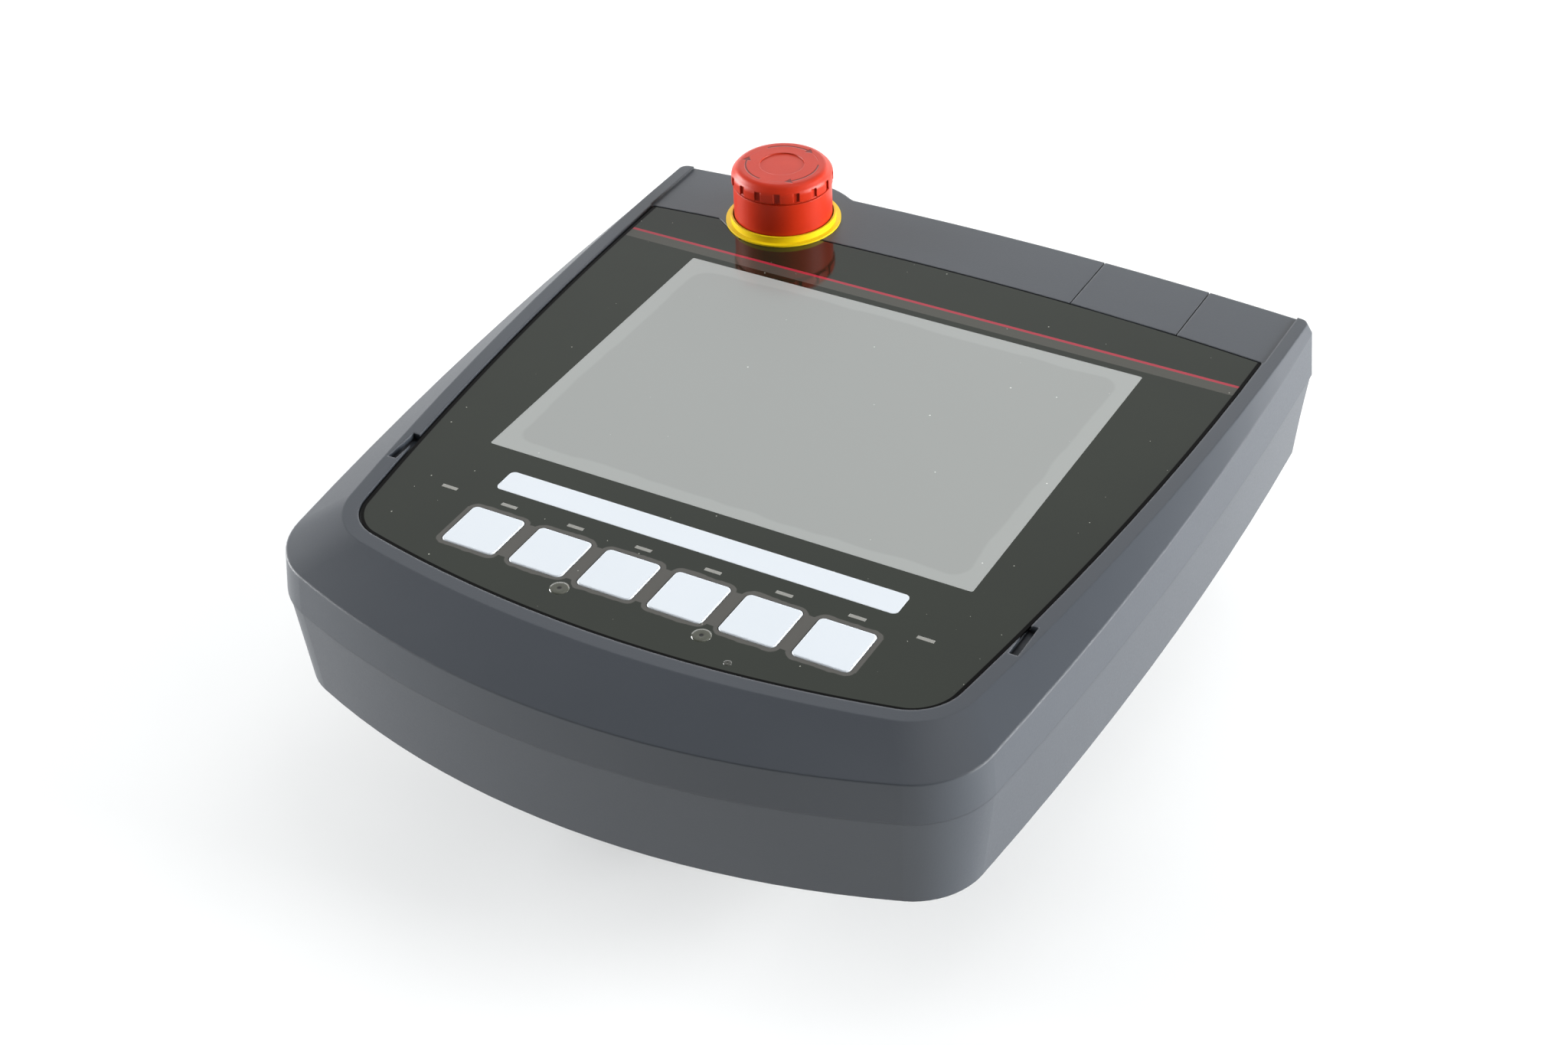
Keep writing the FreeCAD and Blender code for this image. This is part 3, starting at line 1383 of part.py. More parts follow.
slab("stop_nut", f"{UNDER} - nut_thickness", "nut_thickness", nut_outline)
spun("stop_plunger", (
    ("0", f"{F} - plunger_depth"),
    ("plunger_radius", f"{F} - plunger_depth"),
    ("plunger_radius", f"{F} - plunger_seat_height"),
    ("plunger_seat", f"{F} - plunger_seat_height"),
    ("plunger_seat", F),
    ("plunger_radius", F),
    ("plunger_radius", f"{F} + plunger_rise"),
    ("0", f"{F} + plunger_rise"),
), STOP_X, "stop_up")
HUB_BORE = "(plunger_radius + running_clearance)"
head = spun("stop_head", (
    (HUB_BORE, f"{F} + hub_rise"),
    ("hub_radius", f"{F} + hub_rise"),
    ("hub_radius", f"{F} + roof_rise"),
    ("skirt_radius - head_wall", f"{F} + roof_rise"),
    ("skirt_radius - head_wall", f"{F} + skirt_rise"),
    ("skirt_radius", f"{F} + skirt_rise"),
    ("skirt_radius", f"{F} + groove_rise"),
    ("skirt_radius - groove_depth", f"{F} + groove_rise"),
    ("skirt_radius - groove_depth", f"{F} + groove_rise + groove_height"),
    ("cap_radius", f"{F} + groove_rise + groove_height"),
    ("cap_radius", f"{F} + cap_rise"),
    ("cap_radius - cap_round", f"{F} + head_rise"),
    ("dish_radius", f"{F} + head_rise"),
    ("dish_radius", f"{F} + head_rise - dish_depth"),
    ("0", f"{F} + head_rise - dish_depth"),
    ("0", f"{F} + plunger_rise + running_clearance"),
    (HUB_BORE, f"{F} + plunger_rise + running_clearance"),
), STOP_X, "stop_up")
fillet(head, "head_edge", "cap_edge", lambda edge: (
    edge.BoundBox.ZMin > number(f"{F} + cap_rise") - 0.01
    and edge.BoundBox.ZLength < 0.01
    and edge.BoundBox.XLength > number("2 * dish_radius") + 1
))
drawing = sketch(head, "head_notch", f"{F} + cap_rise")
rectangle(drawing, "cap_radius", "0", "2 * finger_notch_depth", "finger_notch")
notch = pocket(head, drawing, "cap_rise - groove_rise - groove_height")
notches = head.newObject("PartDesign::PolarPattern", "head_notches")
notches.Originals = [notch]
notches.Axis = (drawing, ["N_Axis"])
notches.Angle = 360
notches.setExpression("Occurrences", cells("notch_count"))
head.Tip = notches
block = slab(
    "stop_contacts",
    f"{F} - barrel_depth - contact_depth",
    "contact_depth",
    boxes(STOP_PLACE, "contact_width", "contact_height"),
)
cut(
    block,
    "contact_hole",
    f"{F} - barrel_depth",
    "contact_bore",
    circles(STOP_PLACE, "2 * (plunger_radius + screw_clearance)"),
)
spun(
    "stop_spring",
    coil("stop_spring_radius", f"({F} - plunger_seat_height - {CHAMBER_FLOOR})", CHAMBER_FLOOR),
    STOP_X,
    "stop_up",
)


# Rear case, seal and case screws
def rear_contour(owner, name, height, inset):
    return contour_sketch(owner, name, housing(inset), height)


rear = body("rear_case")
CHAMFER_TOP = "floor_height + lower_chamfer"
DRAFT = "-atan((lower_inset - parting_step) / (parting_height - floor_height - lower_chamfer))"
SEAL_BOTTOM = "(parting_height - seal_height)"
CAVITY_DRAFT = f"-atan(rear_cavity_draft / ({SEAL_BOTTOM} - {FLOOR_TOP}))"
for name, draw in (("rear_shell", rear_contour), ("rear_lobe", lobe)):
    upper = draw(rear, name, "parting_height", "parting_step")
    pad(rear, upper, f"parting_height - ({CHAMFER_TOP})", down=True, taper=DRAFT)
    edge = draw(rear, f"{name}_chamfer", CHAMFER_TOP, "lower_inset")
    pad(rear, edge, "lower_chamfer", down=True, taper="-45")
for name, draw in (("rear_rebate", rear_contour), ("rear_lobe_rebate", lobe)):
    pocket(rear, draw(rear, name, "parting_height", "seal_inset"), "seal_height")
for name, draw in (("rear_cavity", rear_contour), ("rear_lobe_cavity", lobe)):
    pocket(rear, draw(rear, name, SEAL_BOTTOM, "wall"), f"{SEAL_BOTTOM} - {FLOOR_TOP}", taper=CAVITY_DRAFT)
grow(
    rear,
    "rear_columns",
    "floor_height",
    "parting_height - floor_height",
    circles(CASE_SCREWS, "column_diameter"),
)
cut(
    rear,
    "rear_screw_holes",
    "parting_height",
    "parting_height - floor_height",
    circles(CASE_SCREWS, "case_screw + 2 * screw_clearance"),
)
drill(
    rear,
    "rear_counterbores",
    "floor_height",
    "case_screw_depth",
    circles(CASE_SCREWS, "case_screw_head + 2 * screw_clearance"),
)
cut(
    rear,
    "rear_opening",
    FLOOR_TOP,
    "floor_thickness",
    boxes([("0", "grip_up")], "grip_opening_width", "grip_opening_length", "grip_post"),
)
GRIP_SCREWS = corners("grip_screw_x", "grip_screw_y", "grip_up")
cut(
    rear,
    "rear_grip_holes",
    FLOOR_TOP,
    "floor_thickness",
    circles(GRIP_SCREWS, "small_screw + 2 * screw_clearance"),
)
seal = body("case_seal")
grow(seal, "seal_outline", SEAL_BOTTOM, "seal_height", lambda d: contour(d, housing("seal_inset")))
pad(seal, lobe(seal, "seal_lobe", SEAL_BOTTOM, "seal_inset"), "seal_height")
cut(
    seal,
    "seal_inside",
    "parting_height",
    "seal_height",
    lambda d: contour(d, housing("seal_inset + seal_width")),
)
pocket(seal, lobe(seal, "seal_lobe_inside", "parting_height", "seal_inset + seal_width"), "seal_height")
HEAD_FACE = "floor_height + case_screw_depth"
screws(
    "case_screws",
    CASE_SCREWS,
    HEAD_FACE,
    "case_screw",
    f"parting_height + case_screw_reach - ({HEAD_FACE})",
    "case_screw_head",
    "case_head_height",
)

# Grip housing
grip = body("grip_housing")


def grip_outline(name, inset):
    made = sketch(grip, name, "floor_height")
    rectangle(
        made,
        "0",
        "grip_up",
        f"grip_width - 2 * ({inset})",
        f"grip_length - 2 * ({inset})",
        f"grip_radius - ({inset})",
    )
    return made


GRIP_TAPER = "-atan((grip_width - grip_back_width) / 2 / floor_height)"
pad(grip, grip_outline("grip_shell", "0"), "floor_height", down=True, taper=GRIP_TAPER)
fillet(grip, "grip_edge", "grip_round", lambda edge: edge.BoundBox.ZMax < 0.01)
GLAND_BOSS = circles([("gland_right", "gland_rise")], "2 * gland_boss_radius")
grow(
    grip,
    "grip_gland_boss",
    "gland_face_down - gland_boss_length",
    "gland_boss_length",
    GLAND_BOSS,
    "XZ_Plane",
)
pocket(grip, grip_outline("grip_cavity", "grip_wall"), "floor_height - grip_wall", taper=GRIP_TAPER)
NUT_SEAT = circles([("gland_right", "gland_rise")], "2 * nut_seat_radius")
grow(
    grip,
    "grip_nut_seat",
    "gland_face_down - gland_boss_length",
    "gland_boss_length - grip_wall",
    NUT_SEAT,
    "XZ_Plane",
)
grow(
    grip,
    "grip_posts",
    "floor_height - grip_post_length",
    "grip_post_length",
    circles(GRIP_SCREWS, "grip_post"),
)
cut(grip, "grip_post_holes", "floor_height", "small_screw_length", circles(GRIP_SCREWS, TAP))
FRAME_WALL = "grip_wall / 2"
grow(grip, "grip_frame", "-grip_up - frame_length / 2", "frame_length", lambda d: polygon(d, (
    ("-lever_inner", "frame_low"),
    ("-lever_inner", "frame_high"),
    (f"-{grip_wall_at('frame_high')} + {FRAME_WALL}", "frame_high"),
    (f"-{grip_wall_at('frame_low')} + {FRAME_WALL}", "frame_low"),
)), "XZ_Plane")
cut(
    grip,
    "grip_slot",
    "-lever_inner",
    "slot_depth",
    boxes([("grip_up", "lever_rise")], "lever_length + 2 * lever_gap", "lever_height + 2 * lever_gap"),
    "YZ_Plane",
)
cut(
    grip,
    "grip_gland_hole",
    "gland_face_down",
    "gland_boss_length + gland_nut_thickness",
    circles([("gland_right", "gland_rise")], "2 * gland_hole_radius"),
    "XZ_Plane",
)
COVER = ("cover_right", "cover_up")
grow(
    grip,
    "grip_cover_frame",
    "grip_wall",
    "cover_frame_height - grip_wall",
    boxes([COVER], "cover_width + 2 * cover_frame", "cover_length + 2 * cover_frame", "cover_radius"),
)
COVER_SEAT = "(cover_sink + cover_thickness)"
drill(
    grip,
    "grip_cover_recess",
    "0",
    COVER_SEAT,
    boxes([COVER], "cover_width + 2 * cover_gap", "cover_length + 2 * cover_gap", "cover_radius"),
)
HATCH = ("cover_width - 2 * cover_lip", "cover_length - 2 * cover_lip")
HATCH_SEAL = (
    "cover_width - 2 * cover_lip + 2 * cover_seal_width",
    "cover_length - 2 * cover_lip + 2 * cover_seal_width",
)
drill(grip, "grip_hatch", "0", "cover_frame_height", boxes([COVER], *HATCH, "hatch_radius"))
drill(
    grip,
    "grip_hatch_rebate",
    COVER_SEAT,
    "cover_seal_thickness",
    boxes([COVER], *HATCH_SEAL, "cover_radius"),
)
COVER_SCREWS = [
    (
        f"cover_right + {side} * (cover_width / 2 - cover_screw_inset)",
        f"cover_up + {end} * (cover_length / 2 - cover_screw_inset)",
    )
    for side in (-1, 1) for end in (-1, 1)
]
TERMINAL_SCREWS = [
    (
        f"cover_right + terminal_shift + {side} * (terminal_board_width / 2 - terminal_screw_inset)",
        f"cover_up + {end} * (terminal_board_length / 2 - terminal_screw_inset)",
    )
    for side in (-1, 1) for end in (-1, 1)
]
grow(
    grip,
    "grip_terminal_posts",
    "grip_wall",
    "terminal_board_rise - grip_wall",
    circles(TERMINAL_SCREWS, "terminal_post"),
)
cut(grip, "grip_terminal_holes", "terminal_board_rise", BOARD_TAP, circles(TERMINAL_SCREWS, TAP))
drill(
    grip,
    "grip_cover_holes",
    "cover_sink",
    "cover_frame_height - cover_sink - blind_floor",
    circles(COVER_SCREWS, "cover_screw + thread_play"),
)
FOOT_RIGHT = "(-bracket_plate_in + bracket_plate + foot_screw_in)"
FOOT_SCREWS = [(FOOT_RIGHT, "grip_up - foot_screw_out"), (FOOT_RIGHT, "grip_up + foot_screw_out")]
drill(
    grip,
    "grip_foot_holes",
    "foot_hole_floor",
    "grip_wall",
    circles(FOOT_SCREWS, "cover_screw + thread_play"),
)
screws(
    "grip_screws",
    GRIP_SCREWS,
    FLOOR_TOP,
    "small_screw",
    "floor_thickness + small_screw_length - tip_room",
    "small_screw_head",
    "small_head_height",
    heads_up=True,
)

# Grip switch
lever = body("grip_lever")
grow(lever, "lever_bar", "-grip_up - lever_length / 2", "lever_length", lambda d: polygon(d, (
    ("-lever_inner", "lever_rise - lever_height / 2"),
    ("-lever_inner", "lever_rise + lever_height / 2"),
    (f"-{grip_wall_at('lever_rise + lever_height / 2')} - lever_stand", "lever_rise + lever_height / 2"),
    (f"-{grip_wall_at('lever_rise - lever_height / 2')} - lever_stand", "lever_rise - lever_height / 2"),
)), "XZ_Plane")
fillet(lever, "lever_edges", "lever_round", lambda edge: edge.BoundBox.XMax < number("-lever_inner - 4"))
grow(
    lever,
    "lever_lip",
    "-lever_inner",
    "lever_lip_thickness",
    boxes([("grip_up", "lever_rise")], "lever_length + 2 * lever_lip", "lever_height + 2 * lever_lip"),
    "YZ_Plane",
)
PLATE_BACK = "(-bracket_plate_in + bracket_plate)"
plate = body("grip_bracket")


def plate_outline(drawing):
    rectangle(
        drawing,
        "grip_up",
        "grip_wall + bracket_plate_height / 2",
        "bracket_plate_length",
        "bracket_plate_height",
    )
    circle(drawing, "grip_up", "lever_rise", "2 * (actuator_radius + actuator_gap)")


grow(plate, "plate_outline", "-bracket_plate_in", "bracket_plate", plate_outline, "YZ_Plane")
grow(
    plate,
    "plate_foot",
    "grip_wall",
    "bracket_plate",
    boxes([(f"{PLATE_BACK} + foot_depth / 2", "grip_up")], "foot_depth", "foot_length"),
)
cut(
    plate,
    "plate_foot_holes",
    "grip_wall + bracket_plate",
    "bracket_plate",
    circles(FOOT_SCREWS, "cover_screw + 2 * screw_clearance"),
)
screws(
    "grip_bracket_screws",
    FOOT_SCREWS,
    "grip_wall + bracket_plate",
    "cover_screw",
    "bracket_plate + grip_wall - foot_hole_floor - tip_room",
    "cover_screw_head",
    "cover_head_height",
    heads_up=True,
)
enabling = body("enabling_switch")
grow(
    enabling,
    "enabling_body",
    PLATE_BACK,
    "enabling_depth",
    boxes([("grip_up", "lever_rise")], "enabling_length", "enabling_height"),
    "YZ_Plane",
)
drill(
    enabling,
    "enabling_bore",
    PLATE_BACK,
    "actuator_bore",
    circles([("grip_up", "lever_rise")], "2 * (actuator_radius + running_clearance)"),
    "YZ_Plane",
)
actuator = body("grip_plunger")
grow(
    actuator,
    "actuator_rod",
    LEVER_BACK,
    f"{PLATE_BACK} - {LEVER_BACK} + actuator_overlap",
    circles([("grip_up", "lever_rise")], "2 * actuator_radius"),
    "YZ_Plane",
)
springs = body("grip_springs", several=True)
springs.setExpression("Placement.Base.x", cells(LEVER_BACK))
springs.setExpression("Placement.Base.y", cells(f"{ORIGIN_SHIFT} + grip_up"))
springs.setExpression("Placement.Base.z", cells("lever_rise"))
for name, aside in (("grip_spring_upper", "-grip_spring_out"), ("grip_spring_lower", "grip_spring_out")):
    drawing = sketch(springs, name, aside, "XZ_Plane")
    polygon(
        drawing,
        [
            (along, radius)
            for radius, along in coil("grip_spring_radius", f"(-bracket_plate_in - {LEVER_BACK})", "0")
        ],
    )
    turn(springs, drawing, "H_Axis")

# Cable inlet
GLAND = ("gland_right", "-gland_face_down", "gland_rise", "YZ_Plane", "H_Axis")
spun("cable_gland", (
    ("gland_thread_length", "gland_bore_radius"),
    ("gland_thread_length", "gland_thread_radius"),
    ("0", "gland_thread_radius"),
    ("0", "gland_flange_radius"),
    ("-gland_flange_thickness", "gland_flange_radius"),
    ("-gland_flange_thickness", "gland_bore_radius"),
), *GLAND)
spun("gland_seal", (
    ("0", "gland_seal_bore"),
    ("0", "gland_bore_radius"),
    ("-gland_flange_thickness", "gland_bore_radius"),
    ("-gland_flange_thickness", "gland_bore_radius + gland_seal_lip"),
    ("-gland_seal_length", "gland_bore_radius + gland_seal_lip"),
    ("-gland_seal_length", "gland_seal_bore"),
), *GLAND)
spun("gland_cap", (
    ("-gland_flange_thickness", "gland_bore_radius + gland_seal_lip"),
    ("-gland_flange_thickness", "gland_cap_radius"),
    ("-gland_flange_thickness - gland_cap_length + gland_cap_chamfer", "gland_cap_radius"),
    ("-gland_flange_thickness - gland_cap_length", "gland_cap_radius - gland_cap_chamfer"),
    ("-gland_flange_thickness - gland_cap_length", "gland_seal_bore + gland_cap_gap"),
    ("-gland_seal_length", "gland_seal_bore + gland_cap_gap"),
    ("-gland_seal_length", "gland_bore_radius + gland_seal_lip"),
), *GLAND)
nut = body("gland_nut")


def gland_nut_outline(drawing):
    hexagon(drawing, "gland_right", "gland_rise", "gland_nut_radius")
    circle(drawing, "gland_right", "gland_rise", "2 * (gland_thread_radius + running_clearance)")


grow(
    nut,
    "gland_nut_outline",
    "gland_face_down - gland_boss_length - gland_nut_thickness",
    "gland_nut_thickness",
    gland_nut_outline,
    "XZ_Plane",
)

# Service cover and terminal board
hatch = slab(
    "service_cover",
    "cover_sink",
    "cover_thickness",
    boxes([COVER], "cover_width", "cover_length", "cover_radius"),
)
cut(
    hatch,
    "service_holes",
    COVER_SEAT,
    "cover_thickness",
    circles(COVER_SCREWS, "cover_screw + 2 * screw_clearance"),
)
drill(
    hatch,
    "service_counterbores",
    "cover_sink",
    "cover_head_height",
    circles(COVER_SCREWS, "cover_screw_head + 2 * screw_clearance"),
)
slab(
    "service_seal",
    COVER_SEAT,
    "cover_seal_thickness",
    ring(*COVER, *HATCH_SEAL, "cover_radius", "cover_seal_width"),
)
SERVICE_FACE = "cover_sink + cover_head_height"
SERVICE_LENGTH = f"cover_frame_height - blind_floor - tip_room - ({SERVICE_FACE})"
screws(
    "service_screws",
    COVER_SCREWS,
    SERVICE_FACE,
    "cover_screw",
    SERVICE_LENGTH,
    "cover_screw_head",
    "cover_head_height",
)


def terminal_outline(drawing):
    rectangle(
        drawing,
        "cover_right + terminal_shift",
        "cover_up",
        "terminal_board_width",
        "terminal_board_length",
        "key_radius",
    )
    circles(TERMINAL_SCREWS, "small_screw + 2 * screw_clearance")(drawing)


slab("terminal_board", "terminal_board_rise", "board_thickness", terminal_outline)
screws("terminal_screws", TERMINAL_SCREWS, "terminal_board_rise + board_thickness", *SMALL, heads_up=True)
slab(
    "terminal_blocks",
    "terminal_board_rise - terminal_height",
    "terminal_height",
    boxes(
        [("cover_right", "cover_up - block_down"), ("cover_right", "cover_up + block_up")],
        "terminal_width",
        "terminal_depth",
    ),
    several=True,
)

doc.recompute()
for item in doc.Objects:
    if "Invalid" in item.State or "Error" in item.State:
        raise RuntimeError(f"{item.Name}: {item.State} {item.getStatusString()}")
    if hasattr(item, "Shape") and item.isDerivedFrom("PartDesign::Feature"):
        if item.Shape.isNull() or not item.Shape.isValid():
            raise RuntimeError(f"{item.Name} has no valid shape")
for node in NODES:
    if node.Shape.isNull() or not node.Shape.isValid():
        raise RuntimeError(f"{node.Label} has no valid shape")

os.makedirs("parts", exist_ok=True)
for node in NODES:
    node.Shape.exportStep(f"parts/{node.Label}.step")
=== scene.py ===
"""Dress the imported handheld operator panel: finishes, printed film, small relief, light and camera."""

import logging
import math
from dataclasses import dataclass, field
from enum import Enum
from typing import Any

import bmesh
import bpy
from mathutils import Matrix, Vector


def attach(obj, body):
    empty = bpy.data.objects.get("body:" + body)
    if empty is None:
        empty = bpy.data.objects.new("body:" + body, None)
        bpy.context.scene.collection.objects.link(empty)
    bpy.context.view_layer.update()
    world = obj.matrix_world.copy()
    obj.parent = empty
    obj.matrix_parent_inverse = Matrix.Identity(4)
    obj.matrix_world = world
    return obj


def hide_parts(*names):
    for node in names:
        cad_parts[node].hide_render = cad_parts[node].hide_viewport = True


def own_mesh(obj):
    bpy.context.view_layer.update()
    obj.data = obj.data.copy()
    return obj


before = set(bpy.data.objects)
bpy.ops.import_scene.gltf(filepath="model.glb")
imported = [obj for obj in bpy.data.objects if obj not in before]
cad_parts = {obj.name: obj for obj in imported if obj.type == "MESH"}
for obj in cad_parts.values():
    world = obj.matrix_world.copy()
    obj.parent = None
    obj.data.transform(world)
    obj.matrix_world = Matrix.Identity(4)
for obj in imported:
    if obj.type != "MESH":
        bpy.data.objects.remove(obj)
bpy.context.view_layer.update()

Shape = bmesh.types.BMesh
Material = bpy.types.Material
Tree = bpy.types.NodeTree
Node = bpy.types.Node
Socket = bpy.types.NodeSocket
Pair = tuple[float, float]
Triple = tuple[float, float, float]

LOG = logging.getLogger("operator_panel")
MM = 0.001
# Millimetres from the frame's origin to the middle of the display, and the height of the film's face.
DISPLAY_MIDDLE = (0.0, 12.55, 0.0)
FILM_FACE = 78.6
STOP_AXIS = (-55.2, 92.9, 0.0)
# More millimetres than the panel measures in any direction.
FAR = 1000.0
# The range of a mask or of a share.
WHOLE = (0.0, 1.0)
# The range that noise keeps to, apart from its rare peaks.
NOISE_SPAN = (0.3, 0.7)
# Octaves of the noise in clouds and streaks, in smears and grain, and in ripples.
CLOUD_DETAIL = 3.0
SMEAR_DETAIL = 2.0
RIPPLE_DETAIL = 1.0
BEVEL_SAMPLES = 4
GAP_SAMPLES = 8
# A speck's radius grows with a random number between zero and one: up to DUST_FROM it is DUST_START
# millimetres, so that most places stay bare. DUST_BLUR is half the width of its blurred edge.
DUST_FROM = 0.55
DUST_START = -0.1
DUST_BLUR = 0.05
# Vector operations that give a number.
NUMBER_RESULTS = ("LENGTH", "DISTANCE", "DOT_PRODUCT")
# Tone, darker tone and roughness of the zinc-plated steel.
ZINC = ("#c9cbce", "#9c9ea2", 0.28)
# Tone, darker tone, rubbed tone and roughness of the black polyamide.
BLACK_POLYAMIDE = ("#202225", "#191b1d", "#3b3d40", 0.46)


class Slot(Enum):
    """Material slots of the record."""

    CASE = "case_plastic"
    FILM = "overlay_film"
    WINDOW = "window_film"
    GLASS = "panel_glass"
    WHITE = "white_plastic"
    LAMP = "lamp_plastic"
    RED = "stop_red"
    YELLOW = "stop_yellow"
    BLACK = "black_plastic"
    STEEL = "steel"
    BOARD = "board"
    RUBBER = "seal_rubber"


class Rider(Enum):
    """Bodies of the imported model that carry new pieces."""

    HOUSING = "housing"


def linear(code: str) -> tuple[float, float, float, float]:
    """Turn an sRGB hex colour into a linear one.

    Args:
        code: six hex digits after a hash sign.

    Returns:
        Red, green, blue and an alpha of one.
    """
    levels = [int(code[at : at + 2], 16) / 255 for at in (1, 3, 5)]
    red, green, blue = (v / 12.92 if v <= 0.04045 else ((v + 0.055) / 1.055) ** 2.4 for v in levels)
    return red, green, blue, 1.0


def around(level: float, spread: Pair) -> Pair:
    """Return the two ends of a spread round a level."""
    return level + spread[0], level + spread[1]


def plug(tree: Tree, node: Node, inputs: dict[Any, Any]) -> None:
    """Set a node's constant inputs and link its other ones.

    Args:
        tree: the node tree that holds the node.
        node: the node.
        inputs: a constant or another node's output for each named or numbered input.
    """
    for key, value in inputs.items():
        if isinstance(value, Socket):
            tree.links.new(value, node.inputs[key])
        else:
            node.inputs[key].default_value = value


def add_node(tree: Tree, kind: str, inputs: dict[Any, Any] | None = None, **settings: Any) -> Node:
    """Add one node with its settings, its constant inputs and its links.

    Args:
        tree: the node tree that takes the node.
        kind: Blender's name of the node type.
        inputs: a constant or another node's output for each named or numbered input.
        settings: properties of the node itself.

    Returns:
        The new node.
    """
    node = tree.nodes.new(kind)
    for name, value in settings.items():
        setattr(node, name, value)
    plug(tree, node, inputs or {})
    return node


@dataclass
class Canvas:
    """A material under way: its shader, and a place on the surface in millimetres."""

    material: Material
    tree: Tree
    shader: Node
    place: Socket

    def number(self, operation: str, *values: float | Socket) -> Socket:
        """Return the result of an operation on numbers."""
        node = add_node(self.tree, "ShaderNodeMath", dict(enumerate(values)), operation=operation)
        return node.outputs[0]

    def vector(self, operation: str, *values: Triple | Socket) -> Socket:
        """Return the result of an operation on vectors, which is a number for some."""
        node = add_node(self.tree, "ShaderNodeVectorMath", dict(enumerate(values)), operation=operation)
        return node.outputs["Value" if operation in NUMBER_RESULTS else "Vector"]

    def axes(self) -> list[Socket]:
        """Return the three coordinates of the place."""
        return list(add_node(self.tree, "ShaderNodeSeparateXYZ", {0: self.place}).outputs)

    def point(self, x: Socket, y: Socket) -> Socket:
        """Return the point of the face's plane with two coordinates."""
        return add_node(self.tree, "ShaderNodeCombineXYZ", {0: x, 1: y}).outputs[0]

    def reach(self, place: Socket, kept: Triple) -> Socket:
        """Return the distance from the origin along the kept axes."""
        return self.vector("LENGTH", self.vector("MULTIPLY", place, kept))

    def ranged(self, value: Socket, source: Pair, target: Pair, **settings: Any) -> Socket:
        """Map one range of numbers onto another.

        Args:
            value: the number.
            source: the ends of the range that it comes from.
            target: what these ends become; beyond them the result stays the same.
            settings: properties of the node that does it.

        Returns:
            The mapped number.
        """
        limits = {"Value": value}
        for name, ends in (("From", source), ("To", target)):
            limits[f"{name} Min"], limits[f"{name} Max"] = ends
        return add_node(self.tree, "ShaderNodeMapRange", limits, **settings).outputs["Result"]

    def noise(self, size_mm: float, detail: float, place: Socket | None = None) -> Socket:
        """Add noise.

        Args:
            size_mm: the size of its coarsest features.
            detail: its octaves.
            place: where it is looked up; the canvas's own place if left out.

        Returns:
            A number that varies mostly within NOISE_SPAN.
        """
        setup = {"Vector": self.place if place is None else place, "Scale": 1 / size_mm, "Detail": detail}
        return add_node(self.tree, "ShaderNodeTexNoise", setup).outputs[0]

    def mix(self, share: Socket, low: str | Socket, high: str | Socket) -> Socket:
        """Blend two colours.

        Args:
            share: the share of the second colour.
            low: the first colour, a hex code or a node's output.
            high: the second colour, likewise.

        Returns:
            The blended colour.
        """
        ends = [linear(end) if isinstance(end, str) else end for end in (low, high)]
        # A mix node has its colours at inputs 6 and 7, and the blend of these at output 2.
        blend = add_node(self.tree, "ShaderNodeMix", {0: share, 6: ends[0], 7: ends[1]}, data_type="RGBA")
        return blend.outputs[2]

    def bevel(self, radius_mm: float) -> Socket:
        """Return the normal of a surface whose edges are rounded."""
        radius = {"Radius": radius_mm * MM}
        return add_node(self.tree, "ShaderNodeBevel", radius, samples=BEVEL_SAMPLES).outputs[0]

    def bump(
        self, height: Socket, depth_mm: float, normal: Socket | None = None, invert: bool = False
    ) -> Socket:
        """Raise or sink the surface by a pattern.

        Args:
            height: the pattern, from zero to one.
            depth_mm: the height of one.
            normal: the normal of the surface so far, if it is not the mesh's own.
            invert: whether the pattern is sunk.

        Returns:
            The new normal.
        """
        relief = {"Height": height, "Distance": depth_mm * MM}
        if normal is not None:
            relief["Normal"] = normal
        return add_node(self.tree, "ShaderNodeBump", relief, invert=invert).outputs[0]

    def inside(self, distance: Socket, soft: float) -> Socket:
        """Turn a signed distance into a mask that is one inside the outline.

        Args:
            distance: the distance from the outline in millimetres, negative inside.
            soft: half the width of the blurred edge in millimetres.

        Returns:
            The mask.
        """
        return self.ranged(distance, (soft, -soft), WHOLE, interpolation_type="SMOOTHSTEP")

    def patch(self, place: Socket, middle: Pair, size: Pair, radius: float) -> Socket:
        """Give the distance from a rounded rectangle in the face's plane.

        Args:
            place: the place on the surface in millimetres.
            middle: the rectangle's middle.
            size: its width and height.
            radius: its corner radius.

        Returns:
            The signed distance, negative inside.
        """
        core = (size[0] / 2 - radius, size[1] / 2 - radius, FAR)
        folded = self.vector("ABSOLUTE", self.vector("SUBTRACT", place, (*middle, 0.0)))
        over = self.vector("SUBTRACT", folded, core)
        away = self.vector("LENGTH", self.vector("MAXIMUM", over, (0.0, 0.0, 0.0)))
        return self.number("SUBTRACT", away, radius)

    def dust(self, cell: float, largest: float) -> Socket:
        """Scatter a few small specks over the face.

        Args:
            cell: the mean distance between the places where a speck may lie, in millimetres.
            largest: the largest speck's radius in millimetres.

        Returns:
            A mask that is one on the specks.
        """
        setup = {"Vector": self.place, "Scale": 1 / cell}
        spots = add_node(self.tree, "ShaderNodeTexVoronoi", setup, voronoi_dimensions="2D")
        chance = add_node(self.tree, "ShaderNodeSeparateColor", {0: spots.outputs["Color"]}).outputs[0]
        radius = self.ranged(chance, (DUST_FROM, 1.0), (DUST_START, largest))
        away = self.number("MULTIPLY", spots.outputs["Distance"], cell)
        return self.inside(self.number("SUBTRACT", away, radius), DUST_BLUR)

    def finish(self, inputs: dict[str, Any]) -> Material:
        """Plug the results into the shader and return the finished material."""
        plug(self.tree, self.shader, inputs)
        return self.material


